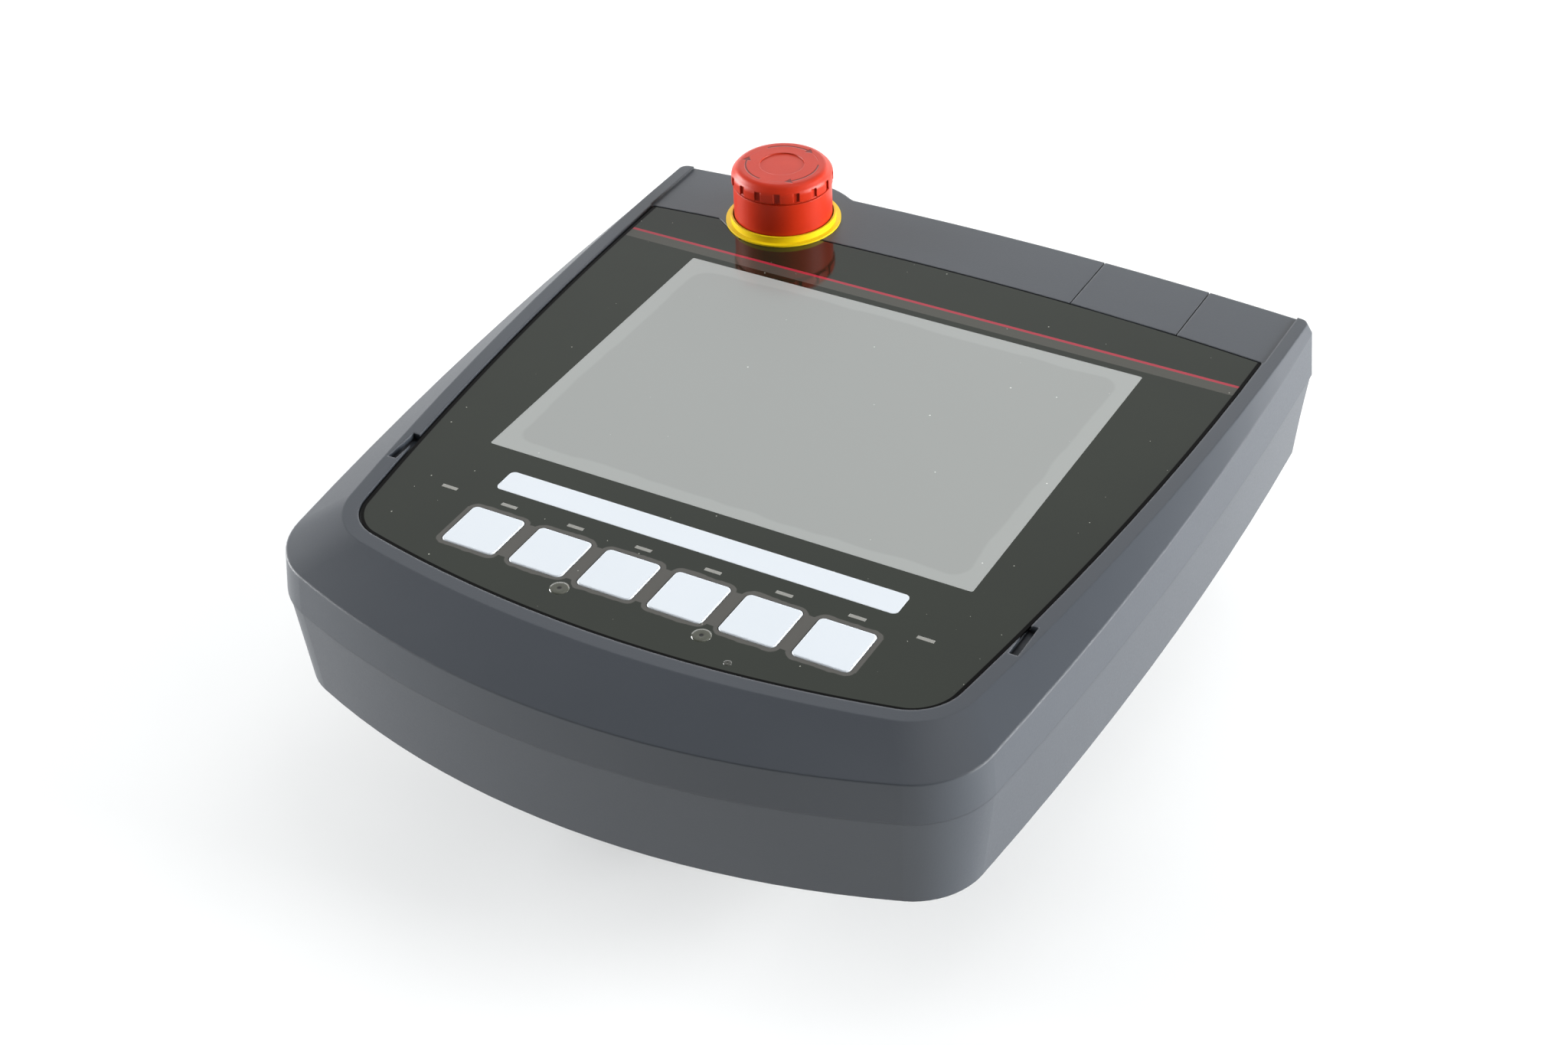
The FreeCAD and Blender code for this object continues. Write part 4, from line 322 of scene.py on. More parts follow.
def start_canvas(name: str, middle: Triple = (0.0, 0.0, 0.0)) -> Canvas:
    """Start a material whose patterns are laid out in millimetres round a chosen middle.

    Args:
        name: the material's name.
        middle: the point of the frame, in millimetres, that becomes the pattern's origin.

    Returns:
        The material with an empty shader.
    """
    material = bpy.data.materials.new(name)
    material.use_nodes = True
    tree = material.node_tree
    tree.nodes.clear()
    shader = add_node(tree, "ShaderNodeBsdfPrincipled")
    add_node(tree, "ShaderNodeOutputMaterial", {"Surface": shader.outputs["BSDF"]})
    source = add_node(tree, "ShaderNodeTexCoord")
    shifted = {"Vector": source.outputs["Object"], "Location": [-c for c in middle], "Scale": [1 / MM] * 3}
    mapping = add_node(tree, "ShaderNodeMapping", shifted)
    return Canvas(material, tree, shader, mapping.outputs["Vector"])


@dataclass(frozen=True)
class MouldedPlastic:
    """Injection-moulded plastic from a textured mould: satin, faintly clouded, with rubbed edges and
    painted shade in gaps and sunk marks.
    """

    name: str
    colour: str
    shade: str
    rubbed: str
    roughness: float
    ior: float = 1.53
    smear: Pair = (-0.05, 0.05)
    # A real mould texture is 0.1 to 0.2 mm; it is drawn coarser, because it would not show.
    grain_mm: float = 0.55
    grain_depth_mm: float = 0.012
    cloud_mm: float = 26.0
    edge_mm: float = 0.35
    edge_share: float = 0.35
    # Cosines of the turn at an edge: where rubbing starts, and where it is full.
    edge_turn: Pair = (0.99, 0.80)
    # Reach of the painted shade that darkens narrow gaps; none where it is zero.
    gap_shade_mm: float = 0.0
    gap_shade_colour: str = "#101114"
    # Shares of open air: where the shade starts, and where it is full.
    gap_air: Pair = (0.7, 0.35)
    middle: Triple = (0.0, 0.0, 0.0)
    # Painted shade in sunk marks: the colour that the marks are darkened to.
    sunk_shade: str = "#000000"
    mark_depth_mm: float = 0.12
    mark_blur: float = 0.12

    def cut_marks(self, work: Canvas) -> Socket | None:
        """Return the mask of marks cut into the surface, if the piece has any."""
        return None

    def material(self) -> Material:
        """Build the plastic.

        Returns:
            The finished material.
        """
        work = start_canvas(self.name, self.middle)
        grain = work.noise(self.grain_mm, SMEAR_DETAIL)
        colour = work.mix(work.noise(self.cloud_mm, CLOUD_DETAIL), self.shade, self.colour)
        normal = work.bevel(self.edge_mm)
        facing = add_node(work.tree, "ShaderNodeNewGeometry").outputs["Normal"]
        turn = work.vector("DOT_PRODUCT", facing, normal)
        colour = work.mix(work.ranged(turn, self.edge_turn, (0.0, self.edge_share)), colour, self.rubbed)
        # Painted shade: the colour is darkened where ambient occlusion finds walls close by, as in gaps and
        # seams.
        if self.gap_shade_mm > 0:
            nearby = {"Distance": self.gap_shade_mm * MM}
            air = add_node(work.tree, "ShaderNodeAmbientOcclusion", nearby, samples=GAP_SAMPLES)
            gap_shade = work.ranged(air.outputs["AO"], self.gap_air, WHOLE)
            colour = work.mix(gap_shade, colour, self.gap_shade_colour)
        marks = self.cut_marks(work)
        if marks is not None:
            # Painted shade: the sunk marks are darkened as well as sunk by a bump.
            colour = work.mix(marks, colour, self.sunk_shade)
            normal = work.bump(marks, self.mark_depth_mm, normal, invert=True)
        normal = work.bump(grain, self.grain_depth_mm, normal)
        rough = work.ranged(grain, WHOLE, around(self.roughness, self.smear))
        return work.finish({"Base Color": colour, "Roughness": rough, "Normal": normal, "IOR": self.ior})


@dataclass(frozen=True)
class ArrowedPlastic(MouldedPlastic):
    """Moulded plastic of the stop head, with three turning arrows sunk into its top and darkened with
    painted shade.
    """

    arrows: int = 3
    arrow_radius: float = 10.2
    stroke: float = 0.5
    barb: float = 1.2
    # Degrees of one third of a turn that the shaft and the barb take up.
    shaft_span: Pair = (-46.0, 22.0)
    barb_end: float = 34.0
    # Degrees by which the first arrow is turned, and the height above which arrows are cut.
    first_turn: float = -6.0
    top: float = 95.2

    def cut_marks(self, work: Canvas) -> Socket:
        """Lay out the three arrows round the head's axis.

        Args:
            work: the material under way, centred on the axis.

        Returns:
            A mask that is one in the arrows.
        """
        x, y, z = work.axes()
        off = work.number("SUBTRACT", work.reach(work.place, (1.0, 1.0, 0.0)), self.arrow_radius)
        aside = work.number("ABSOLUTE", off)
        # The angle runs clockwise seen from above, as the head is turned to free it.
        angle = work.number("ARCTAN2", x, y)
        shifted = work.number("SUBTRACT", angle, math.radians(self.first_turn))
        half = math.pi / self.arrows
        along = work.number("MULTIPLY", work.number("WRAP", shifted, half, -half), self.arrow_radius)
        low, high = (math.radians(a) * self.arrow_radius for a in self.shaft_span)
        tip = math.radians(self.barb_end) * self.arrow_radius
        length = work.number("ABSOLUTE", work.number("SUBTRACT", along, (low + high) / 2))
        beyond = work.number("SUBTRACT", length, (high - low) / 2)
        shaft = work.number("MAXIMUM", beyond, work.number("SUBTRACT", aside, self.stroke / 2))
        flank = work.number("SUBTRACT", aside, work.ranged(along, (high, tip), (self.barb, 0.0)))
        head = work.number("MAXIMUM", flank, work.number("SUBTRACT", high, along))
        arrow = work.number("MINIMUM", shaft, head)
        upper = work.number("MAXIMUM", arrow, work.number("SUBTRACT", self.top, z))
        return work.inside(upper, self.mark_blur)


@dataclass(frozen=True)
class RibbedPlastic(MouldedPlastic):
    """Moulded plastic of a round nut, with grip ribs along its axis, which points along Y."""

    mark_blur: float = 0.15
    ribs: int = 30
    # Share of the rib's pitch that the groove takes up, and the radius from which the wall carries ribs.
    groove_share: float = 0.4
    wall_from: float = 10.6

    def cut_marks(self, work: Canvas) -> Socket:
        """Lay out the grooves between the ribs round the nut's axis.

        Args:
            work: the material under way, centred on the axis.

        Returns:
            A mask that is one in the grooves.
        """
        x, _, z = work.axes()
        wave = work.number("MULTIPLY", work.number("ARCTAN2", z, x), float(self.ribs))
        level = math.cos(math.pi * self.groove_share)
        groove = work.number("SUBTRACT", level, work.number("COSINE", wave))
        core = work.number("SUBTRACT", self.wall_from, work.reach(work.place, (1.0, 0.0, 1.0)))
        return work.inside(work.number("MAXIMUM", groove, core), self.mark_blur)


@dataclass(frozen=True)
class FaceFilm:
    """Glossy polyester film printed from behind: olive-black ink, red line, grey band, pale key seats."""

    name: str
    ink: str
    haze: str
    line: str
    band: str
    seat: str
    speck: str
    # Painted shade: the dark colour of the film's edge, where the wall round it shades it.
    edge: str
    roughness: float = 0.07
    smear: Pair = (-0.02, 0.04)
    ior: float = 1.58
    cloud_mm: float = 34.0
    ripple_mm: float = 16.0
    ripple_depth_mm: float = 0.02
    print_blur: float = 0.10
    print_corner: float = 0.01
    line_at: float = 56.7
    line_width: float = 0.95
    band_from: float = 52.5
    band_to: float = 56.2
    keys: int = 6
    key_pitch: float = 19.1
    key_size: float = 15.0
    key_row: float = -81.6
    seat_border: float = 1.4
    seat_corner: float = 3.2
    # Height of the strip that joins the pale seats of neighbouring keys.
    seat_bridge: float = 13.4
    bridge_corner: float = 0.5
    row_corner: float = 1.0
    seat_blur: float = 0.16
    ragged_mm: float = 5.0
    ragged_by: float = 0.3
    dust_cell: float = 9.0
    dust_size: float = 0.2
    # Bows of the film's sides and lower edge, each a radius and its middle. The lower corners are laid
    # out as if those edges met squarely, so their radius here is smaller than the film's own.
    side_bow: float = 1143.0
    side_middle: Triple = (-1051.2, 76.8, 0.0)
    foot_bow: float = 315.0
    foot_middle: Triple = (0.0, 212.0, 0.0)
    corner: float = 7.8
    # Width of the film's edge that is painted with the shade of the wall round it, and the shine outside
    # and in it.
    shade_mm: float = 0.95
    shade_blur: float = 0.1
    shine: Pair = (0.5, 0.08)

    def edge_shade(self, work: Canvas) -> Socket:
        """Lay out the shaded edge along the film's sides and lower end.

        Args:
            work: the material under way, centred on the display.

        Returns:
            A mask that is one in the shade.
        """
        x, y, _ = work.axes()
        spot = work.point(work.number("ABSOLUTE", x), y)
        past = []
        for middle, bow in ((self.side_middle, self.side_bow), (self.foot_middle, self.foot_bow)):
            away = work.vector("DISTANCE", spot, middle)
            past.append(work.number("SUBTRACT", away, bow - self.corner))
        over = work.vector("MAXIMUM", work.point(*past), (0.0, 0.0, 0.0))
        lit = work.number("SUBTRACT", self.corner - self.shade_mm, work.vector("LENGTH", over))
        return work.inside(lit, self.shade_blur)

    def seats(self, work: Canvas) -> Socket:
        """Lay out the pale seats of the keys, joined into one row with an uneven edge.

        Args:
            work: the material under way, centred on the display.

        Returns:
            The signed distance from the seats, negative inside.
        """
        half = self.key_pitch / 2
        shifted = work.vector("SUBTRACT", work.place, (half, self.key_row, 0.0))
        key = work.vector("WRAP", shifted, (half, FAR, FAR), (-half, -FAR, -FAR))
        side = self.key_size + 2 * self.seat_border
        seat = work.patch(key, (0.0, 0.0), (side, side), self.seat_corner)
        bridge_size = (2 * self.key_pitch, self.seat_bridge)
        bridge = work.patch(key, (0.0, 0.0), bridge_size, self.bridge_corner)
        ragged = work.noise(self.ragged_mm, SMEAR_DETAIL)
        uneven = work.ranged(ragged, NOISE_SPAN, (-self.ragged_by, self.ragged_by))
        wobbled = work.number("ADD", work.number("MINIMUM", seat, bridge), uneven)
        row_size = ((self.keys - 1) * self.key_pitch + side, 2 * self.key_pitch)
        row = work.patch(work.place, (0.0, self.key_row), row_size, self.row_corner)
        return work.number("MAXIMUM", wobbled, row)

    def stripe(self, work: Canvas, at: float, width: float) -> Socket:
        """Return the signed distance from a stripe across the whole face."""
        return work.patch(work.place, (0.0, at), (FAR, width), self.print_corner)

    def material(self) -> Material:
        """Build the film with its inks.

        Returns:
            The finished material.
        """
        work = start_canvas(self.name, DISPLAY_MIDDLE)
        cloud = work.noise(self.cloud_mm, CLOUD_DETAIL)
        colour = work.mix(cloud, self.ink, self.haze)
        band = self.stripe(work, (self.band_from + self.band_to) / 2, self.band_to - self.band_from)
        line = self.stripe(work, self.line_at, self.line_width)
        shade = self.edge_shade(work)
        layers = [
            (work.inside(band, self.print_blur), self.band),
            (work.inside(line, self.print_blur), self.line),
            (work.inside(self.seats(work), self.seat_blur), self.seat),
            (work.dust(self.dust_cell, self.dust_size), self.speck),
            (shade, self.edge),
        ]
        for mask, tint in layers:
            colour = work.mix(mask, colour, tint)
        normal = work.bump(work.noise(self.ripple_mm, RIPPLE_DETAIL), self.ripple_depth_mm)
        rough = work.ranged(cloud, WHOLE, around(self.roughness, self.smear))
        surface = {"Base Color": colour, "Roughness": rough, "Normal": normal, "IOR": self.ior}
        surface["Specular IOR Level"] = work.ranged(shade, WHOLE, self.shine)
        return work.finish(surface)


@dataclass(frozen=True)
class WindowFilm:
    """Hard-coated window film over an unlit display: pale border, slightly darker rounded picture area."""

    name: str
    border: str
    picture: str
    speck: str
    roughness: float = 0.16
    smear: Pair = (-0.03, 0.04)
    ior: float = 1.52
    picture_size: Pair = (125.4, 91.8)
    picture_middle: Pair = (0.0, -0.2)
    corner: float = 5.0
    picture_blur: float = 0.55
    drift_mm: float = 22.0
    drift_by: float = 0.8
    dust_cell: float = 13.0
    dust_size: float = 0.22

    def material(self) -> Material:
        """Build the window.

        Returns:
            The finished material.
        """
        work = start_canvas(self.name, DISPLAY_MIDDLE)
        drift = work.noise(self.drift_mm, SMEAR_DETAIL)
        uneven = work.ranged(drift, NOISE_SPAN, (-self.drift_by, self.drift_by))
        gap = work.patch(work.place, self.picture_middle, self.picture_size, self.corner)
        mask = work.inside(work.number("ADD", gap, uneven), self.picture_blur)
        colour = work.mix(mask, self.border, self.picture)
        colour = work.mix(work.dust(self.dust_cell, self.dust_size), colour, self.speck)
        rough = work.ranged(drift, WHOLE, around(self.roughness, self.smear))
        return work.finish({"Base Color": colour, "Roughness": rough, "IOR": self.ior})


@dataclass(frozen=True)
class DrawnSteel:
    """Zinc-plated or drawn steel: bright, with fine streaks and uneven gloss."""

    name: str
    colour: str
    shade: str
    roughness: float
    smear: Pair = (-0.08, 0.12)
    streak_mm: float = 0.5
    # The streaks are longer along Z by one over this.
    streak_squeeze: float = 0.15
    edge_mm: float = 0.12
    middle: Triple = (0.0, 0.0, 0.0)
    # Painted shade in the recesses: the colour they are darkened to.
    recess_shade_colour: str = "#16171a"
    recess_depth_mm: float = 0.4
    recess_blur: float = 0.06

    def recess(self, work: Canvas) -> Socket | None:
        """Return the mask of recesses in the surface, if the piece has any."""
        return None

    def material(self) -> Material:
        """Build the metal.

        Returns:
            The finished material.
        """
        work = start_canvas(self.name, self.middle)
        long = work.vector("MULTIPLY", work.place, (1.0, 1.0, self.streak_squeeze))
        streak = work.noise(self.streak_mm, CLOUD_DETAIL, long)
        colour = work.mix(streak, self.shade, self.colour)
        normal = work.bevel(self.edge_mm)
        holes = self.recess(work)
        if holes is not None:
            # Painted shade: the recesses are darkened as well as sunk by a bump.
            colour = work.mix(holes, colour, self.recess_shade_colour)
            normal = work.bump(holes, self.recess_depth_mm, normal, invert=True)
        rough = work.ranged(streak, WHOLE, around(self.roughness, self.smear))
        return work.finish({"Base Color": colour, "Roughness": rough, "Normal": normal, "Metallic": 1.0})


@dataclass(frozen=True)
class DrivenSteel(DrawnSteel):
    """Screws of the same steel, with a six-lobed drive recess in the underside of each head, darkened with
    painted shade.
    """

    # Places of some screws in millimetres from the middle, and whether the rest mirror them in X and in Y.
    screws: tuple[Pair, ...] = ()
    mirrored: tuple[bool, bool] = (True, False)
    recess_radius: float = 1.2
    lobe_share: float = 0.16
    lobes: int = 6

    def recess(self, work: Canvas) -> Socket:
        """Lay out one lobed recess at each screw.

        Args:
            work: the material under way, centred on the pattern.

        Returns:
            A mask that is one in the recesses.
        """
        sides = work.axes()[:2]
        for axis, mirrored in enumerate(self.mirrored):
            if mirrored:
                sides[axis] = work.number("ABSOLUTE", sides[axis])
        gaps = []
        for screw in self.screws:
            x, y = [work.number("SUBTRACT", side, at) for side, at in zip(sides, screw)]
            wave = work.number("MULTIPLY", work.number("ARCTAN2", y, x), float(self.lobes))
            swell = (self.lobe_share * self.recess_radius, self.recess_radius)
            radius = work.number("MULTIPLY_ADD", work.number("COSINE", wave), *swell)
            gaps.append(work.number("SUBTRACT", work.vector("LENGTH", work.point(x, y)), radius))
        nearest = gaps[0]
        for gap in gaps[1:]:
            nearest = work.number("MINIMUM", nearest, gap)
        return work.inside(nearest, self.recess_blur)


@dataclass(frozen=True)
class CircuitBoard:
    """Fibreglass board under green solder mask, with slightly paler copper runs below it."""

    name: str
    mask: str
    copper: str
    roughness: float = 0.3
    ior: float = 1.55
    run_mm: float = 1.27
    # Gap, length and stagger of the runs in shares of their pitch, and how every second row is squeezed.
    run_gap: float = 0.16
    run_length: float = 7.0
    run_stagger: float = 0.37
    run_squeeze: float = 0.6
    run_depth_mm: float = 0.03

    def material(self) -> Material:
        """Build the board.

        Returns:
            The finished material.
        """
        work = start_canvas(self.name)
        setup = {
            "Vector": work.place,
            "Scale": 1 / self.run_mm,
            "Mortar Size": self.run_gap,
            "Brick Width": self.run_length,
        }
        shifts = {"offset": self.run_stagger, "squash": self.run_squeeze}
        runs = add_node(work.tree, "ShaderNodeTexBrick", setup, **shifts).outputs["Fac"]
        colour = work.mix(runs, self.mask, self.copper)
        normal = work.bump(runs, self.run_depth_mm)
        surface = {"Base Color": colour, "Roughness": self.roughness, "Normal": normal, "IOR": self.ior}
        return work.finish(surface)


@dataclass(frozen=True)
class PaneGlass:
    """Float glass of the touch panel: clear, faintly green, with a light wipe haze."""

    name: str
    tint: str
    haze: str
    wipe_mm: float = 30.0
    roughness: Pair = (0.02, 0.09)
    ior: float = 1.52
    clearness: float = 0.6

    def material(self) -> Material:
        """Build the glass.

        Returns:
            The finished material.
        """
        work = start_canvas(self.name)
        wipe = work.noise(self.wipe_mm, SMEAR_DETAIL)
        colour = work.mix(wipe, self.tint, self.haze)
        rough = work.ranged(wipe, WHOLE, self.roughness)
        surface = {"Base Color": colour, "Roughness": rough, "IOR": self.ior}
        surface["Transmission Weight"] = self.clearness
        return work.finish(surface)


@dataclass(frozen=True)
class PressedDimple:
    """Film pressed over a small stud: a ring with a darker middle, mirrored about the display's middle."""

    name: str
    ring: str
    pit: str
    at: Pair
    pit_radius: float
    pit_blur: float = 0.2
    roughness: float = 0.16
    ior: float = 1.58

    def material(self) -> Material:
        """Build the dimple's film.

        Returns:
            The finished material.
        """
        work = start_canvas(self.name, DISPLAY_MIDDLE)
        spot = (abs(self.at[0]), abs(self.at[1]), 0.0)
        moved = work.vector("SUBTRACT", work.vector("ABSOLUTE", work.place), spot)
        gap = work.number("SUBTRACT", work.reach(moved, (1.0, 1.0, 0.0)), self.pit_radius)
        colour = work.mix(work.inside(gap, self.pit_blur), self.ring, self.pit)
        return work.finish({"Base Color": colour, "Roughness": self.roughness, "IOR": self.ior})


@dataclass(frozen=True)
class FloorPaper:
    """Matt white studio paper with the faintest unevenness."""

    name: str = "white_studio_paper"
    light: str = "#d0d1d1"
    dark: str = "#cccdcd"
    fibre_mm: float = 60.0
    roughness: float = 0.8
    # A light table shines through the paper, so shadows on it stay pale.
    glow: float = 0.53

    def material(self) -> Material:
        """Build the paper.

        Returns:
            The finished material.
        """
        work = start_canvas(self.name)
        colour = work.mix(work.noise(self.fibre_mm, SMEAR_DETAIL), self.dark, self.light)
        surface = {"Base Color": colour, "Roughness": self.roughness}
        surface |= {"Emission Color": colour, "Emission Strength": self.glow}
        return work.finish(surface)


@dataclass
class FinishBook:
    """One material for each slot of the record."""

    made: dict[Slot, Material] = field(default_factory=dict)

    def fill(self) -> None:
        """Build every finish that whole slots share."""
        finishes = {
            # ABS blend from a fine spark-eroded mould: satin blue-grey, paler where hands rub the edges,
            # with painted shade in its narrow gaps.
            Slot.CASE: MouldedPlastic(
                "abs_satin_blue_grey", "#393e45", "#353a41", "#585d64",
                roughness=0.40, edge_mm=0.7, edge_share=0.08, gap_shade_mm=1.5,
            ),
            # Polyester film printed on its back: deep gloss, mirror of what stands on it, with painted
            # shade along its edges.
            Slot.FILM: FaceFilm(
                "polyester_film_olive_black",
                ink="#141a12", haze="#1b2217", line="#c8324a", band="#55534d",
                seat="#4b4a46", speck="#a3a49a", edge="#040404",
            ),
            # Hard-coated film over an unlit display: even grey with a soft gloss.
            Slot.WINDOW: WindowFilm(
                "hard_coated_window_film", border="#9b9e9c", picture="#949795", speck="#dcdedc"
            ),
            # Float glass: hidden under the window film, so kept simple.
            Slot.GLASS: PaneGlass("float_glass", tint="#c9d4cf", haze="#d5dcd8"),
            # Polycarbonate key caps: cool white, slightly glossy, soft edges.
            Slot.WHITE: MouldedPlastic(
                "polycarbonate_cool_white", "#d3d9df", "#ced5db", "#e0e5e9",
                roughness=0.30, edge_mm=0.4, grain_depth_mm=0.004,
            ),
            # Frosted acrylic light pipes: milky grey while unlit.
            Slot.LAMP: MouldedPlastic(
                "frosted_acrylic", "#8f8f8a", "#82827d", "#aeaeaa",
                roughness=0.28, ior=1.49, edge_mm=0.15, grain_depth_mm=0.004,
            ),
            # Polyamide stop head: strong warm red, satin gloss, arrows sunk into the top and darkened with
            # painted shade.
            Slot.RED: ArrowedPlastic(
                "polyamide_signal_red", "#be2c0a", "#ae2307", "#c84c2c",
                roughness=0.38, ior=1.40, cloud_mm=9.0, middle=STOP_AXIS, sunk_shade="#6a0e04",
            ),
            # Polyamide collar: signal yellow, satin gloss.
            Slot.YELLOW: MouldedPlastic(
                "polyamide_signal_yellow", "#e2c408", "#d8b806", "#e8cc40",
                roughness=0.42, ior=1.40, edge_mm=0.1,
            ),
            # Glass-filled polyamide: black, drier than the case.
            Slot.BLACK: MouldedPlastic("polyamide_black", *BLACK_POLYAMIDE),
            # Zinc-plated steel of screws and springs: bright with fine streaks.
            Slot.STEEL: DrawnSteel("zinc_plated_steel", *ZINC),
            # Fibreglass board under solder mask: green with paler runs.
            Slot.BOARD: CircuitBoard("fibreglass_solder_mask", mask="#0c4a24", copper="#1c6a38"),
            # Nitrile rubber: dull black with a dusty bloom.
            Slot.RUBBER: MouldedPlastic(
                "nitrile_rubber", "#1b1c1d", "#131415", "#2b2c2d", roughness=0.72, cloud_mm=8.0
            ),
        }
        for slot, finish in finishes.items():
            self.made[slot] = finish.material()


@dataclass(frozen=True)
class WoundSpring:
    """A compression spring of round wire with one closed turn at each end, in millimetres."""

    # Middles of the ends that stay put, and the way from there to the ends that are pressed.
    fixed_ends: tuple[Triple, ...]
    axis: Triple
    length: float
    radius: float
    stroke: float
    open_turns: int
    wire: float = 0.8
    closed_turns: int = 1
    turn_steps: int = 24
    wire_sides: int = 10

    def wind(self) -> Shape:
        """Screw the wire's round section along the spring's axis.

        Returns:
            The closed shape, in metres.
        """
        shape = bmesh.new()
        axis = Vector(self.axis)
        radial = axis.orthogonal().normalized()
        turn = Matrix((axis, radial, axis.cross(radial))).transposed().to_4x4()
        half = self.wire / 2
        closed_run = (self.closed_turns, self.wire)
        open_rise = self.length - self.wire - 2 * self.closed_turns * self.wire
        open_run = (self.open_turns, open_rise / self.open_turns)
        for end in self.fixed_ends:
            base = Vector(end) * MM
            start = base + (radial * (self.radius - half) + axis * half) * MM
            section = bmesh.ops.create_circle(
                shape, segments=self.wire_sides, radius=half * MM, matrix=Matrix.Translation(start) @ turn
            )["verts"]
            geometry = section + list({edge for point in section for edge in point.link_edges})
            for turns, pitch in (closed_run, open_run, closed_run):
                geometry = bmesh.ops.spin(
                    shape,
                    geom=geometry,
                    cent=base,
                    axis=axis,
                    dvec=axis * pitch * MM / self.turn_steps,
                    angle=turns * math.tau,
                    steps=turns * self.turn_steps,
                )["geom_last"]
        close_rims(shape)
        return shape

    def yield_to(self, piece: bpy.types.Object, joint: str) -> None:
        """Give the spring's object a mesh of its own; the spring does not shorten with the joint.

        Args:
            piece: the spring's object, its mesh final.
            joint: the joint that presses it; not used.
        """
        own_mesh(piece)


def close_rims(shape: Shape) -> None:
    """Fill every open rim of a shape."""
    rims = [edge for edge in shape.edges if edge.is_boundary]
    bmesh.ops.holes_fill(shape, edges=rims, sides=0)


def show(name: str, data: bpy.types.ID) -> bpy.types.Object:
    """Put a mesh, a light or a camera into the scene.

    Args:
        name: the object's name.
        data: what it shows.

    Returns:
        The object, at the origin.
    """
    shown = bpy.data.objects.new(name, data)
    bpy.context.scene.collection.objects.link(shown)
    return shown


def make_mesh(name: str, shape: Shape, material: Material) -> bpy.types.Mesh:
    """Turn a finished shape into a mesh, and free it.

    Args:
        name: the mesh's name.
        shape: the shape in metres, in the shared frame.
        material: its finish.

    Returns:
        The mesh.
    """
    mesh = bpy.data.meshes.new(name)
    shape.to_mesh(mesh)
    shape.free()
    mesh.materials.append(material)
    return mesh


@dataclass
class Assembly:
    """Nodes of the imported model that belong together, each with the slot of its finish."""

    book: FinishBook
    nodes: dict[Slot, list[str]] = field(default_factory=dict)
    # Finishes of single nodes that differ from the rest of their slot.
    special: dict[str, Material] = field(default_factory=dict)

    def build(self) -> None:
        """Make the group's own small pieces and special finishes, where it has any."""

    def dress(self) -> None:
        """Give each node of the group its finish."""
        for slot, names in self.nodes.items():
            for name in names:
                material = self.special.get(name, self.book.made[slot])
                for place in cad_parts[name].material_slots:
                    place.material = material
                LOG.info("%s: dressed in %s", name, material.name)

    def add_piece(
        self, name: str, shape: Shape, material: Material, rider: Rider, slot: Slot
    ) -> bpy.types.Object:
        """Turn a finished shape into a piece that rides on a body.

        Args:
            name: the piece's name.
            shape: the shape in metres, in the shared frame.
            material: its finish.
            rider: the body that carries it.
            slot: the record's slot of that finish; not used.

        Returns:
            The piece's object.
        """
        bmesh.ops.recalc_face_normals(shape, faces=shape.faces)
        mesh = make_mesh(name, shape, material)
        mesh.shade_smooth()
        piece = show(name, mesh)
        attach(piece, rider.value)
        LOG.info("%s: built with %d faces", name, len(mesh.polygons))
        return piece


@dataclass
class CaseShell(Assembly):
    """The mouldings of the case and what closes them."""

    # Places of the screws in millimetres: half of the case's six, and one of the service cover's four.
    case_screws: tuple[Pair, ...] = ((87.0, 62.0), (85.0, -62.0), (70.0, -104.0))
    service_middle: Triple = (14.0, 38.55, 0.0)
    service_screws: tuple[Pair, ...] = ((21.0, 26.0),)
    case_recess: float = 1.6
    service_recess: float = 1.1

    def __post_init__(self) -> None:
        """Name the shell's nodes."""
        self.nodes = {
            Slot.CASE: ["front_case", "rear_case", "port_cover", "service_cover"],
            Slot.STEEL: ["case_screws", "service_screws", "port_hinge_pin"],
            Slot.RUBBER: ["case_seal", "service_seal"],
        }

    def build(self) -> None:
        """Give the heads of the case and cover screws their drive recesses."""
        # Zinc-plated steel as on the other screws, with the recess that a driver bit fits, darkened with
        # painted shade.
        self.special["case_screws"] = DrivenSteel(
            "zinc_plated_case_screw",
            *ZINC,
            middle=DISPLAY_MIDDLE,
            screws=self.case_screws,
            recess_radius=self.case_recess,
        ).material()
        self.special["service_screws"] = DrivenSteel(
            "zinc_plated_cover_screw",
            *ZINC,
            middle=self.service_middle,
            screws=self.service_screws,
            mirrored=(True, True),
            recess_radius=self.service_recess,
        ).material()


